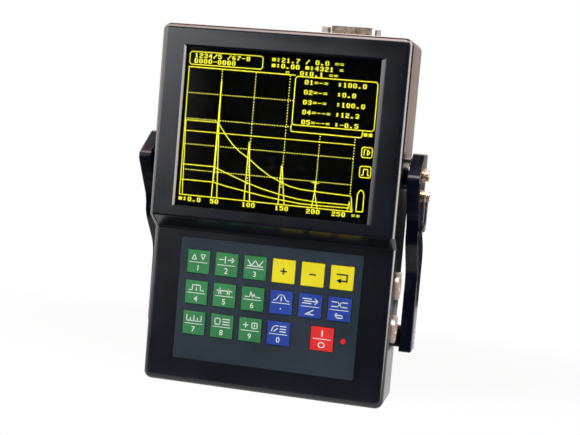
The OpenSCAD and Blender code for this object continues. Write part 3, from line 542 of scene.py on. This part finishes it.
shell = buildFrontShell()
cutAway(shell, windowCutter())
cutAway(shell, roundPlate("overlayCutter", overlay["wide"], overlay["high"], overlay["corner"],
                          case["deck"] - margin, case["deck"] + overlay["thick"], overlay["middle"]))
cutAway(shell, keyCutters(case["wall"]))
finishPiece(shell, "case", "casePlastic", "front_shell")
print("front shell made:", len(shell.data.polygons), "faces")

film = roundPlate("keypadFilm", overlay["wide"] - 2 * overlay["gap"], overlay["high"] - 2 * overlay["gap"],
                  overlay["corner"], case["deck"], case["deck"] + overlay["thick"], overlay["middle"])
cutAway(film, keyCutters(overlay["thick"]))
finishPiece(film, "case", "overlayFilm", "keypad_overlay")
print("keypad film made:", len(film.data.polygons), "faces")

bay = inMetres(wide=123.2, high=78, corner=3, thick=1.8, gap=0.5, edge=0.4, middle=(0, 56), screwX=57.6,
               headDepth=1.2, headRadius=2)
rear = dict(inMetres(screwX=68.5, screwZ=(8.5, 104, 215.5), screwHole=3, screwFloor=19, socketY=9,
                     socketZ=(74, 47), barrel=6.5, sideDepth=8, portX=35.5, portY=5, portHalf=(13.1, 4.75),
                     pivot=(1.5, 144), bossRadius=10, bossProud=2.1, insertRadius=4, edge=0.4))


def buildRearShell():
    wide, top, wall, back = case["halfWidth"], case["height"], case["wall"], case["back"]
    shell = addBlock("rearShell", (-wide, case["seam"], 0), (wide, back, top))
    roundCorners(shell, case["corner"])
    bevelRim(shell, (0, 1, 0), case["backRound"], 8)
    bevelRim(shell, (0, -1, 0), case["seamEdge"], 2)
    hollow = addBlock("hollow", (-wide + wall, case["seam"] - margin, wall),
                      (wide - wall, back - wall, top - wall))
    roundCorners(hollow, case["corner"] - wall, 5)
    cutAway(shell, hollow)
    cutAway(shell, roundPlate("bayCutter", bay["wide"] + bay["gap"], bay["high"] + bay["gap"], bay["corner"],
                              back - bay["thick"], back + margin, bay["middle"]))
    for side in (-1, 1):
        for z in rear["screwZ"]:
            drill(shell, (side * rear["screwX"], rear["screwFloor"], z), "y", back - rear["screwFloor"],
                  rear["screwHole"])
        boss = addRod("boss", (side * (wide - margin), *rear["pivot"]), "x",
                      side * (rear["bossProud"] + margin), rear["bossRadius"])
        bevelRim(boss, (side, 0, 0), rear["edge"], 3)
        cutAway(shell, boss, "UNION")
        drill(shell, (side * (wide - rear["sideDepth"]), *rear["pivot"]), "x",
              side * (rear["sideDepth"] + rear["bossProud"]), rear["insertRadius"])
    for z in rear["socketZ"]:
        drill(shell, (wide - rear["sideDepth"], rear["socketY"], z), "x", rear["sideDepth"], rear["barrel"])
    halfX, halfY = rear["portHalf"]
    cutAway(shell, addBlock("portHole", (rear["portX"] - halfX, rear["portY"] - halfY, top - wall - margin),
                            (rear["portX"] + halfX, rear["portY"] + halfY, top + margin)))
    return shell


shell = buildRearShell()
finishPiece(shell, "case", "casePlastic", "rear_shell")
print("rear shell made:", len(shell.data.polygons), "faces")

cover = roundPlate("batteryCover", bay["wide"], bay["high"], bay["corner"],
                   case["back"] - bay["thick"], case["back"], bay["middle"])
bevelRim(cover, (0, 1, 0), bay["edge"], 3)
for side in (-1, 1):
    drill(cover, (side * bay["screwX"], case["back"] - bay["headDepth"], bay["middle"][1]), "y",
          bay["headDepth"], bay["headRadius"])
finishPiece(cover, "case", "casePlastic", "battery_cover")
print("battery cover made:", len(cover.data.polygons), "faces")

# keys and their legends


def buildKey():
    rim = roundPlate("keyCap", keypad["wide"] + 2 * keypad["rim"], keypad["high"] + 2 * keypad["rim"],
                     keypad["corner"], keypad["rimFront"], keypad["rimBack"], segments=4)
    openFaces(rim, lambda c, n: n.y < -0.9)
    bpy.ops.mesh.inset(thickness=keypad["rim"])
    extrudeOpen((0, keypad["front"] - keypad["rimFront"], 0))
    openRim(rim, lambda c, n: n.y < -0.9 and c.y < keypad["front"] + hair, lambda c, n: abs(n.y) < 0.1)
    bevelOpen(keypad["edge"], 3)
    return rim


# the ink: its thickness, the widths of its lines, and the heights and places of its figures
legend = dict(inMetres(thick=0.015, icon=0.6, sign=0.95, bar=0.4, figureHigh=3.5, pointHigh=0.9,
                       figureDrop=3.9, powerHigh=3.7, powerRise=3.5, powerDrop=3.7),
              bold=0.008, iconGrow=1.18, iconMiddle=3.0)


def addStrokes(lines, width, shift):  # pen lines as thin flat bars, points in mm
    bars = []
    for line in lines:
        for (ax, az), (bx, bz) in zip(line, line[1:]):
            along = Vector((bx - ax, bz - az)) * mm
            length = along.length + width
            bar = addBlock("ink", (-length / 2, keypad["front"] - legend["thick"], -width / 2),
                           (length / 2, keypad["front"], width / 2))
            bar.rotation_euler = (0, -math.atan2(along.y, along.x), 0)
            bar.location = (shift[0] + (ax + bx) / 2 * mm, 0, shift[1] + (az + bz) / 2 * mm)
            bars.append(settle(bar))
    return bars


def addText(words, high, middle, spread=1.0):  # a printed figure of one height
    half = 0.01  # half its depth, in the font's own measure
    pick()
    bpy.ops.object.text_add()
    text = bpy.context.object
    text.data.body = words
    text.data.align_x = "CENTER"
    text.data.offset = legend["bold"]
    text.data.extrude = half
    text.data.resolution_u = 4
    bpy.ops.object.convert(target="MESH")
    text = bpy.context.object
    across, up = ([getattr(p.co, axis) for p in text.data.vertices] for axis in "xy")
    size = high / (max(up) - min(up))
    text.scale = (size * spread, size, legend["thick"] / 2 / half)
    text.rotation_euler = (math.pi / 2, 0, 0)
    settle(text)
    text.location = (middle[0] - (min(across) + max(across)) / 2 * size * spread,
                     keypad["front"] - legend["thick"] / 2, middle[1] - (min(up) + max(up)) / 2 * size)
    return settle(text, "ink")


def listLines(left, right):
    return [[(left, z), (right, z)] for z in (4.4, 3, 1.6)]


# what each cap carries: pen lines above the bar, figures or pen lines below it
icons = {
    "key_1": [[(-3.6, 1.6), (-2.4, 4.4), (-1.2, 1.6), (-3.6, 1.6)],
              [(1.2, 4.4), (2.4, 1.6), (3.6, 4.4), (1.2, 4.4)]],
    "key_2": [[(-4, 3), (-1.6, 3)], [(-0.8, 1.4), (-0.8, 4.6)], [(0.8, 3), (4, 3)],
              [(2.8, 4.2), (4, 3), (2.8, 1.8)]],
    "key_3": [[(-4, 4.4), (-2, 1.6), (0, 4.4), (2, 1.6), (4, 4.4)], [(-4, 1.4), (4, 1.4)]],
    "key_4": [[(-4, 1.6), (-2.2, 1.6), (-2.2, 4.4), (2.2, 4.4), (2.2, 1.6), (4, 1.6)], [(0, 1.6), (0, 3)]],
    "key_5": [[(-4, 3), (4, 3)], [(-3, 1.4), (-2.4, 4.6), (-1.8, 1.4)], [(1.6, 1.4), (2.2, 4.2), (2.8, 1.4)]],
    "key_6": [[(-4, 1.6), (-1.6, 1.6), (-1, 4.6), (0, 1.2), (0.8, 3.4), (1.4, 1.6), (4, 1.6)]],
    "key_7": [[(-4, 1.6), (4, 1.6)]] + [[(x, 1.6), (x, 3.2 if x % 4 else 4.4)] for x in range(-4, 5, 2)],
    "key_8": [[(-3.8, 1.4), (-3.8, 4.6), (-1, 4.6), (-1, 1.4), (-3.8, 1.4)]] + listLines(0.6, 4),
    "key_9": [[(-3.6, 3), (-1.2, 3)], [(-2.4, 1.8), (-2.4, 4.2)],
              [(1, 4.4), (3.8, 4.4), (3.8, 1.6), (1, 1.6), (1, 4.4)], [(2.4, 2.6), (2.4, 3.4)]],
    "key_0": [[(-3.8, 1.6), (-3.2, 3.4), (-2, 4.5), (-0.4, 4.5)],
              [(-2.4, 1.6), (-0.6, 3.2)]] + listLines(0.8, 3.8),
    "key_envelope": [[(-4, 1.4), (-2.6, 1.8), (-1.2, 4.2), (0, 4.6), (1.2, 4.2), (2.6, 1.8), (4, 1.4)],
                     [(0, 1.4), (0, 3.4)]],
    "key_velocity": [[(-4, 4.2), (0.4, 4.2)], [(-3, 3), (4, 3)], [(-4, 1.8), (0.4, 1.8)],
                     [(2.6, 4.4), (4, 3), (2.6, 1.6)]],
    "key_channel": [[(-4, 4.2), (-1, 4.2), (1, 1.8), (4, 1.8)], [(-4, 1.8), (-1, 1.8), (1, 4.2), (4, 4.2)]],
}
lowerMarks = {
    "key_velocity": [[(-2.6, -5.2), (2.6, -5.2)], [(-2.6, -5.2), (2.2, -2.4)], [(0.6, -5.2), (0.2, -3.8)]],
    "key_channel": [[(-2.4, -3.6), (2.4, -3.6), (2.4, -5.2), (-1, -5.2)],
                    [(-1.4, -2.6), (-2.6, -3.6), (-1.4, -4.6)]],
}
signs = {
    "key_plus": [[(-1.6, 0), (1.6, 0)], [(0, -1.6), (0, 1.6)]],
    "key_minus": [[(-1.6, 0), (1.6, 0)]],
    "key_enter": [[(-3.0, 2.0), (3.2, 2.0), (3.2, -1.9), (-1.0, -1.9)],
                  [(-2.4, -1.9), (-0.9, -1.1), (-0.9, -2.7), (-2.4, -1.9)], [(-1.8, -1.9), (-0.9, -1.9)]],
}
keyBar = {"key_power": [[(-5.4, 0), (5.4, 0)]]}  # the other keys' bar lies a little lower
figures = {"key_%d" % n: str(n) for n in range(10)}
figures["key_envelope"] = "."
hues = {"yellow": "key_plus key_minus key_enter", "red": "key_power",
        "blue": "key_envelope key_velocity key_channel key_0"}
keyHue = {name: hue for hue, names in hues.items() for name in names.split()}  # the rest are green


def inkMarks(name, x, z):
    if name in signs:
        return addStrokes(signs[name], legend["sign"], (x, z))
    bar = addStrokes(keyBar.get(name, [[(-5.6, -0.4), (5.6, -0.4)]]), legend["bar"], (x, z))
    if name == "key_power":
        return [addText("I", legend["powerHigh"], (x, z + legend["powerRise"]), 1.3),
                addText("O", legend["powerHigh"], (x, z - legend["powerDrop"]), 1.1)] + bar
    grow, middle = legend["iconGrow"], legend["iconMiddle"]
    grown = [[(a * grow, middle + (b - middle) * grow) for a, b in line] for line in icons[name]]
    marks = addStrokes(grown, legend["icon"], (x, z)) + bar
    marks += addStrokes(lowerMarks.get(name, []), legend["icon"], (x, z))
    if name in figures:
        high = legend["pointHigh"] if figures[name] == "." else legend["figureHigh"]
        marks.append(addText(figures[name], high, (x, z - legend["figureDrop"])))
    return marks


cap = buildKey()
for name, place in places.items():
    x, z = keyMiddle(*place)
    hue = keyHue.get(name, "green")
    finishPiece(copyPiece(cap, name + "Cap", (x, 0, z)), name, hue + "Film", name, 0)
    finishPiece(joinPieces(name + "Legend", inkMarks(name, x, z)), name,
                "blackInk" if hue == "yellow" else "whiteInk", smooth=0)
bpy.data.objects.remove(cap)
print("keys and legends made:", len(places))

# screen

dots = inMetres(left=-59.4, top=207.9, pitchX=0.3722, pitchZ=0.3896, front=-19.72, back=-19.66)
glyphs = {  # each number is one row of five dots
    "0": (14, 17, 17, 17, 17, 17, 14), "1": (4, 12, 4, 4, 4, 4, 14), "2": (14, 17, 1, 6, 8, 16, 31),
    "3": (14, 17, 1, 6, 1, 17, 14), "4": (2, 6, 10, 18, 31, 2, 2), "5": (31, 16, 30, 1, 1, 17, 14),
    "6": (6, 8, 16, 30, 17, 17, 14), "7": (31, 1, 2, 4, 8, 8, 8), "8": (14, 17, 17, 14, 17, 17, 14),
    "9": (14, 17, 17, 15, 1, 2, 12), ".": (0, 0, 0, 0, 0, 12, 12), ":": (0, 12, 12, 0, 12, 12, 0),
    "-": (0, 0, 0, 31, 0, 0, 0), "/": (1, 1, 2, 4, 8, 16, 16), "#": (0, 31, 31, 31, 31, 31, 0),
    "=": (0, 0, 31, 0, 31, 0, 0), " ": (0,) * 7,
}
glyphWide, letterStep = 5, 8
quads, gridQuads = [], []  # corners of every lit bar, in dots


def litBar(i0, j0, i1, j1, where=quads):
    where.append([(i0, j0), (i1, j0), (i1, j1), (i0, j1)])


def litLine(points, thick):
    for (i0, j0), (i1, j1) in zip(points, points[1:]):
        side = Vector((j0 - j1, i1 - i0)).normalized() * thick / 2
        quads.append([(i0 + side.x, j0 + side.y), (i1 + side.x, j1 + side.y),
                      (i1 - side.x, j1 - side.y), (i0 - side.x, j0 - side.y)])


def litWords(words, i, j, bold=1.25, thick=1.2):
    for place, letter in enumerate(words):
        for row, bits in enumerate(glyphs[letter]):
            run = None
            for column in range(glyphWide + 1):
                lit = column < glyphWide and bits >> (glyphWide - 1 - column) & 1
                if lit and run is None:
                    run = i + letterStep * place + column
                if not lit and run is not None:
                    litBar(run, j + row, i + letterStep * place + column + bold, j + row + thick)
                    run = None


def litDots(i0, j0, i1, j1, step=4.3, size=1.25):
    count = int(max(abs(i1 - i0), abs(j1 - j0)) / step)
    for n in range(count + 1):
        i, j = i0 + (i1 - i0) * n / count, j0 + (j1 - j0) * n / count
        litBar(i - size / 2, j - size / 2, i + size / 2, j + size / 2, gridQuads)


def litBox(i0, j0, i1, j1, cut=3, thick=1.6):
    litLine([(i0 + cut, j0), (i1 - cut, j0), (i1, j0 + cut), (i1, j1 - cut), (i1 - cut, j1),
             (i0 + cut, j1), (i0, j1 - cut), (i0, j0 + cut), (i0 + cut, j0)], thick)


# the graph: its top and base, its right side, and the steps of its dotted lines
graph = dict(top=25.5, base=227, right=285, stepI=57.2, stepJ=40.3, dotsEnd=200, boxLeft=179, boxBase=117)
top, base = graph["top"], graph["base"]
litBox(0, 1.5, 124, 21.5)
litBox(180.5, 28, 315, 102.5)
litBox(298.5, 127.5, 315.5, 143, 2)
litBox(298, 156.5, 316, 173.5, 2)
for words, i, j in (("1234/5 /67-8", 8, 3.5), ("0000-0000", 8, 12), ("#:21.7 / 0.0 ==", 139, 1.5),
                    ("#:0.00 #:4321 =", 139, 10.5), ("=  0:0.1 ==", 163, 19.5), ("##", 299, 105)):
    litWords(words, i, j)
for n, words in enumerate((":100.0", ":0.0", ":100.0", ":12.3", ":-0.5")):
    j = 32.3 + 15.3 * n
    litWords("0%d=-=" % (n + 1) if n < 3 else "0%d=--=" % (n + 1), 196, j)
    litWords(words, 251, j)
for words, i in (("#:0.0", -1), ("50", 53.5), ("100", 108), ("150", 164), ("200", 216.5), ("250", 258.5)):
    litWords(words, i, 229.6)
litWords("==", 291, 229.6, 0.4)
for n in range(1, 5):
    j = top + n * graph["stepJ"]
    litDots(4, j, graph["boxLeft"] if n < 3 else graph["right"], j)
for n in range(1, 6):
    i = graph["stepI"] * n
    litDots(i, top + 3 if n < 4 else graph["boxBase"], i, graph["dotsEnd"])
graphLines = [  # thickness and points: frame, gates and echoes, then the small pictures at the right
    (1.7, [(0, top), (180, 26.5)]),
    (1.7, [(0, 24.6), (0, base)]),
    (1.4, [(1.5, 108), (4.8, base)]),
    (1.5, [(0, base), (292, base + 0.7)]),
    (1.5, [(2, 109), (57, 109)]),
    (1.3, [(0, 125.5), (286.5, 125.4)]),
    (1.5, [(0, 178.8), (54.5, 178.8)]),
    (1.5, [(0, 203), (56.5, 203)]),
    (1.5, [(57, 109), (61, 114.3), (72, 128), (85, 142), (98, 152), (114, 161), (130, 172.5),
           (150, 184.5), (171, 193), (186, 198), (205, 201), (228, 202), (286, 203.7), (288, 205),
           (291.5, base)]),
    (1.5, [(54.5, 178.8), (70, 184), (90, 191), (111, 198), (140, 206), (173, 212.5), (200, 216.4),
           (230, 218), (285, 217.8)]),
    (1.5, [(56.5, 203), (80, 207.6), (112, 212.4), (140, 216.6), (173.5, 220.4), (205, 223),
           (230, 223.4), (286, 222.4)]),
    (1.6, [(55.4, base), (57.3, 43), (58.4, 110), (64.7, base)]),
    (2.2, [(57.4, 44), (57.0, 150), (56.4, 190)]),
    (1.6, [(111.4, base), (112, 135), (114.6, 158), (120.8, base)]),
    (1.6, [(168.9, base), (169.4, 167), (172, 178), (179, base)]),
    (1.5, [(224.8, base), (227.8, 203), (234, base)]),
    (1.5, [(221.5, 188.6), (234, 189)]),
    (1.8, [(227.6, 185), (227.8, 203)]),
    (1.4, [(283.5, base), (286, 212), (289, base)]),
    (1.6, [(180, 102), (179.5, 111), (181.5, 113), (294, 113.6), (296.7, 111), (297, 103.5)]),
    (1.5, [(302.5, 140), (302.5, 131), (305.5, 131)]),
    (1.7, [(308, 131), (312, 135), (308, 139.5), (308, 131)]),
    (1.7, [(300.5, 170), (304, 170), (304, 161), (311, 161), (311, 170), (314, 170)]),
    (1.6, [(297.5, 226), (298, 200), (300, 195.5), (303.2, 193), (306.5, 195.5), (308.5, 200),
           (308.5, 226), (297.5, 226.5)]),
]
for thick, line in graphLines:
    litLine(line, thick)


def buildTraces(name, bars):
    points, faces = [], []
    for quad in bars:
        first = len(points)
        for y in (dots["front"], dots["back"]):
            points += [(dots["left"] + i * dots["pitchX"], y, dots["top"] - j * dots["pitchZ"])
                       for i, j in quad]
        faces += [[first + k for k in corners] for corners in
                  ((0, 3, 2, 1), (4, 5, 6, 7), (0, 1, 5, 4), (1, 2, 6, 5), (2, 3, 7, 6), (3, 0, 4, 7))]
    mesh = bpy.data.meshes.new(name)
    mesh.from_pydata(points, [], faces)
    traces = bpy.data.objects.new(name, mesh)
    bpy.context.collection.objects.link(traces)
    faceOut(traces)
    return traces


display = inMetres(wide=129, high=101, corner=1.5, front=-19.6, back=-12.6, middle=(0, 162.3))
displayEdge = 0.5 * mm
window = inMetres(wide=126, high=99.5, corner=2, front=-22, back=-20, middle=(0, 162.3))

finishPiece(buildTraces("screenTraces", quads), "case", "traceGlow", smooth=0)
finishPiece(buildTraces("screenGrid", gridQuads), "case", "gridGlow", smooth=0)
panel = roundPlate("displayPanel", **display)
bevelRim(panel, (0, -1, 0), displayEdge, 3)
finishPiece(panel, "case", "screenBlack", "display_panel")
finishPiece(roundPlate("screenWindow", **window), "case", "windowGlass", "screen_window")
print("screen made:", len(quads), "lit bars and", len(gridQuads), "dots")

# handle

arm = inMetres(inner=80, outer=88, edge=1.2, innerEdge=0.5, pivotHole=4.5, bar=(31.3, 39.3),
               screwRise=3.4, screwHole=1.5, headHole=2.7, headDepth=2.2, lug=(1.5, 131.5), lugHole=2,
               lugDepth=5)
armOutline = [  # y and z in mm, with the rounding of each corner
    (-0.5, 157, 1.5), (-19.75, 143.5, 1.9), (-20, 139.5, 1.9), (-0.5, 113, 5), (-0.5, 104, 6), (20, 81, 6),
    (20, 31, 1.5), (38, 31, 2.5), (38, 91, 3), (34, 99, 3), (11.5, 116, 4), (11.5, 157, 2.0)]


def buildArm():
    inner, outer = arm["inner"], arm["outer"]
    pick()
    bpy.ops.mesh.primitive_circle_add(vertices=len(armOutline), radius=10 * mm, fill_type="NGON")
    piece = bpy.context.object
    piece.name = "armRight"
    for point, (y, z, r) in zip(piece.data.vertices, armOutline):
        point.co = (inner, y * mm, z * mm)
    for y, z, r in armOutline:
        openPoints(piece, lambda p: abs(p.y - y * mm) < hair and abs(p.z - z * mm) < hair)
        bevelOpen(r * mm, 5, "VERTICES")
    openFaces(piece, lambda c, n: True)
    extrudeOpen((outer - inner, 0, 0))
    faceOut(piece)
    bevelRim(piece, (1, 0, 0), arm["edge"], 4)
    bevelRim(piece, (-1, 0, 0), arm["innerEdge"], 3)
    drill(piece, (inner - margin, *rear["pivot"]), "x", outer - inner + margin, arm["pivotHole"])
    y, z = arm["bar"]
    for rise in (-arm["screwRise"], arm["screwRise"]):
        drill(piece, (inner - margin, y, z + rise), "x", outer - inner + margin, arm["screwHole"])
        drill(piece, (outer - arm["headDepth"], y, z + rise), "x", arm["headDepth"], arm["headHole"])
    return piece


armRight = buildArm()
armLeft = mirrorPiece(armRight, "armLeft")
drill(armRight, (arm["outer"] - arm["lugDepth"], *arm["lug"]), "x", arm["lugDepth"], arm["lugHole"])
finishPiece(armRight, "handle", "handlePlastic", "handle_arm_right", 30)
finishPiece(armLeft, "handle", "handlePlastic", "handle_arm_left", 30)
print("arms made:", len(armRight.data.polygons), "and", len(armLeft.data.polygons), "faces")

grip = dict(inMetres(half=56, thick=10.6, high=16.6, round=4.3, grooveHalf=0.55, waistHalf=0.25,
                     boreThick=8, boreHigh=14, boreRound=3),
            ribs=27, waist=(1, 0.93, 0.95))


def buildGrip():
    half, (y, z) = grip["half"], arm["bar"]

    def bar(name, half, thick, high, radius, segments):
        block = addBlock(name, (-half, y - thick / 2, z - high / 2), (half, y + thick / 2, z + high / 2))
        bevelAlong(block, "x", radius, segments)
        return block
    sleeve = bar("barGrip", half, grip["thick"], grip["high"], grip["round"], 6)
    grooves = [-half + n * 2 * half / grip["ribs"] for n in range(1, grip["ribs"])]
    for x in grooves:  # two cuts and a narrow waist make each groove
        for shift in (-grip["grooveHalf"], -grip["waistHalf"], grip["waistHalf"], grip["grooveHalf"]):
            cutAt(sleeve, (x + shift, 0, 0), (1, 0, 0))
    openPoints(sleeve, lambda p: any(abs(p.x - x) < grip["waistHalf"] + hair for x in grooves))
    bpy.ops.transform.resize(value=grip["waist"], center_override=(0, y, z))
    closeEdit()
    cutAway(sleeve, bar("bore", half + margin, grip["boreThick"], grip["boreHigh"], grip["boreRound"], 5))
    return sleeve


finishPiece(buildGrip(), "handle", "gripRubber", "handle_grip", 40)
print("grip made:", grip["ribs"], "ribs")

# carried-over nodes

nodeFinish = {
    "turnedSteel": "case_screws display_frame board_screws key_domes pulser_shield battery_cover_screws"
                   " port_jack_posts probe_socket_nuts pivot_washers handle_bar_screws",
    "brass": "board_spacers battery_contacts probe_contacts pivot_inserts pivot_screws strap_lug",
    "boardGreen": "display_driver_board keypad_board main_board pulser_board",
    "blackInsert": "buzzer port_insert",
    "paleInsulator": "probe_insulators pivot_bushes",
    "sealRubber": "case_seal",
    "lampRed": "led_indicator",
    "ribbonGrey": "keypad_ribbon",
    "batteryWrap": "battery_pack",
    "portMetal": "port_shell",
    "socketNickel": "probe_sockets",
    "handlePlastic": "handle_bar",
    "darkWire": "strap_ring",
}
for finish, names in nodeFinish.items():
    for name in names.split():
        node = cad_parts[name]
        node.data.materials.clear()
        node.data.materials.append(finishes[finish])
print("carried-over nodes finished:", sum(len(names.split()) for names in nodeFinish.values()))

# floor, light and camera

studio = dict(white=(1.0, 1.0, 1.0, 1), fill=(0.97, 0.98, 1.0, 1), fillStrength=0.4,
              ambient=(0.02, 0.022, 0.028), brim=6, floorTone=(0.86, 0.86, 0.86, 1), floorRough=0.7,
              floorLow=(-0.42, -0.026, -0.0012), floorHigh=(0.42, 0.42, -0.0002), fadeMiddle=0.16,
              fadeHalf=(0.4, 0.186), near=0.35, far=0.99, nearShare=0.85, lampAim=(0, 0, 0.12),
              lampTone=(1.0, 0.98, 0.96))


def backgroundRay(tree):  # 1 where the ray comes from the camera, a mirror or glass
    path = put(tree, "LightPath")
    first = calc(tree, "MAXIMUM", path["Is Camera Ray"], path["Is Glossy Ray"])
    return calc(tree, "MAXIMUM", first, path["Is Transmission Ray"])


def buildFloor():
    floor = addBlock("floor", studio["floorLow"], studio["floorHigh"])
    material, tree, shader = newMaterial("paleFloor")
    feed(shader, {"Base Color": studio["floorTone"], "Roughness": studio["floorRough"]})
    wide, deep = studio["fadeHalf"]
    oval = put(tree, "Mapping", {"Vector": put(tree, "TexCoord")["Object"], "Scale": (1 / wide, 1 / deep, 0),
                                 "Location": (0, -studio["fadeMiddle"] / deep, 0)})["Vector"]
    away = ramp(tree, put(tree, "VectorMath", {0: oval}, operation="LENGTH")["Value"],
                studio["near"], studio["far"], studio["nearShare"], soft=True)
    glow = put(tree, "Emission", {"Color": studio["white"]})[0]
    mix = put(tree, "MixShader", {0: times(tree, away, backgroundRay(tree)), 1: shader.outputs[0], 2: glow})
    feed(tree.nodes["Material Output"], {"Surface": mix[0]})
    floor.data.materials.append(material)


# what shiny surfaces mirror: angles in degrees round the object, from the front, and above it
mirrored = {
    "leftPanel": dict(azimuth=-77.5, half=37.5, side=2, low=-8, foot=5, high=52, glow=(3.9, 3.75, 3.7)),
    "leftSheen": dict(azimuth=-30.2, half=9.6, side=4, low=-3, foot=4, high=14, glow=(3.7, 3.7, 3.8)),
    "leftGleam": dict(azimuth=-36, half=19, side=2, low=6, foot=3, high=15, glow=(7, 7, 7.1)),
    "rightPanel": dict(azimuth=86, half=17, side=3, low=-14, foot=6, high=60, glow=(13, 12.4, 12)),
    "backWall": dict(azimuth=-155, half=40, side=4, low=-2, foot=1, high=50, glow=(0.78, 0.61, 0.52)),
    "ceiling": dict(azimuth=-12, half=75, side=10, low=47, foot=5, high=100, glow=(9, 7.4, 6.8)),
    "backCeiling": dict(azimuth=168, half=85, side=10, low=25, foot=15, high=52, glow=(5.4, 4.4, 4)),
    "rightCeiling": dict(azimuth=0, half=31, side=6, low=47, foot=5, high=100, glow=(8, 6.6, 6)),
}


def addPanel(tree, flat, height, total, panel):  # a soft-edged bright field of directions
    def edge(value, ratio, middle, spread):  # 0 at the first angle, 1 at the second
        ends = (ratio(math.radians(angle)) for angle in (middle - spread, middle + spread))
        return ramp(tree, value, *ends, soft=True)
    turn = math.radians(panel["azimuth"])
    along = put(tree, "VectorMath", {0: flat, 1: (math.sin(turn), -math.cos(turn), 0)},
                operation="DOT_PRODUCT")["Value"]
    mask = times(tree, edge(along, math.cos, panel["half"], -panel["side"]),
                 edge(height, math.sin, panel["low"], panel["foot"]))
    if panel["high"] < 90:
        mask = times(tree, mask, edge(height, math.sin, panel["high"], -studio["brim"]))
    return put(tree, "VectorMath", {0: mask, 1: panel["glow"], 2: total}, operation="MULTIPLY_ADD")[0]


def buildWorld():
    world = bpy.data.worlds.new("studio")
    bpy.context.scene.world = world
    world.use_nodes = True
    tree = world.node_tree
    place = put(tree, "TexCoord")["Generated"]
    height = put(tree, "SeparateXYZ", {0: place})["Z"]
    level = put(tree, "VectorMath", {0: place, 1: (1, 1, 0)}, operation="MULTIPLY")[0]
    flat = put(tree, "VectorMath", {0: level}, operation="NORMALIZE")[0]
    total = studio["ambient"]
    for panel in mirrored.values():
        total = addPanel(tree, flat, height, total, panel)
    shown = mixTones(tree, put(tree, "LightPath")["Is Camera Ray"], total, studio["white"])
    back = tree.nodes["Background"]
    feed(back, {"Color": studio["fill"], "Strength": studio["fillStrength"]})
    mix = put(tree, "MixShader", {0: backgroundRay(tree), 1: back.outputs[0],
                                  2: put(tree, "Background", {"Color": shown})[0]})
    feed(tree.nodes["World Output"], {"Surface": mix[0]})


def outward(azimuth, elevation):  # direction from the object, in degrees from its front and above it
    turn, lift = math.radians(azimuth), math.radians(elevation)
    return Vector((math.sin(turn) * math.cos(lift), -math.cos(turn) * math.cos(lift), math.sin(lift)))


lamps = {
    "softLeft": dict(azimuth=-45, elevation=32, distance=1.2, size=(0.8, 0.9), power=7.6),
    "softRight": dict(azimuth=50, elevation=22, distance=1.2, size=(0.7, 0.9), power=6.2),
}


def addLamp(name, lamp):
    toward = outward(lamp["azimuth"], lamp["elevation"])
    data = bpy.data.lights.new(name, "AREA")
    data.shape = "RECTANGLE"
    data.size, data.size_y = lamp["size"]
    data.energy = lamp["power"]
    data.color = studio["lampTone"]
    light = bpy.data.objects.new(name, data)
    light.location = Vector(studio["lampAim"]) + toward * lamp["distance"]
    light.rotation_euler = toward.to_track_quat("Z", "Y").to_euler()
    light.visible_glossy = False  # mirrors show the world's panels instead
    bpy.context.collection.objects.link(light)


viewFrom = dict(azimuth=12.4294, elevation=4.6263, roll=4.9258, distance=0.676862,
                target=(0.012732, -0.025, 0.112443), lens=69.95, sensor=36, clip=(0.02, 60))


def addCamera():
    data = bpy.data.cameras.new("camera")
    data.lens = viewFrom["lens"]
    data.sensor_width = viewFrom["sensor"]
    data.clip_start, data.clip_end = viewFrom["clip"]
    camera = bpy.data.objects.new("camera", data)
    turns = (viewFrom["azimuth"], "Z"), (90 - viewFrom["elevation"], "X"), (viewFrom["roll"], "Z")
    first, second, third = (Matrix.Rotation(math.radians(angle), 4, axis) for angle, axis in turns)
    camera.rotation_euler = (first @ second @ third).to_euler()
    camera.location = (Vector(viewFrom["target"])
                       + outward(viewFrom["azimuth"], viewFrom["elevation"]) * viewFrom["distance"])
    bpy.context.collection.objects.link(camera)
    bpy.context.scene.camera = camera


buildFloor()
buildWorld()
for name, lamp in lamps.items():
    addLamp(name, lamp)
addCamera()
bpy.context.scene.view_settings.view_transform = "Standard"
print("studio ready")
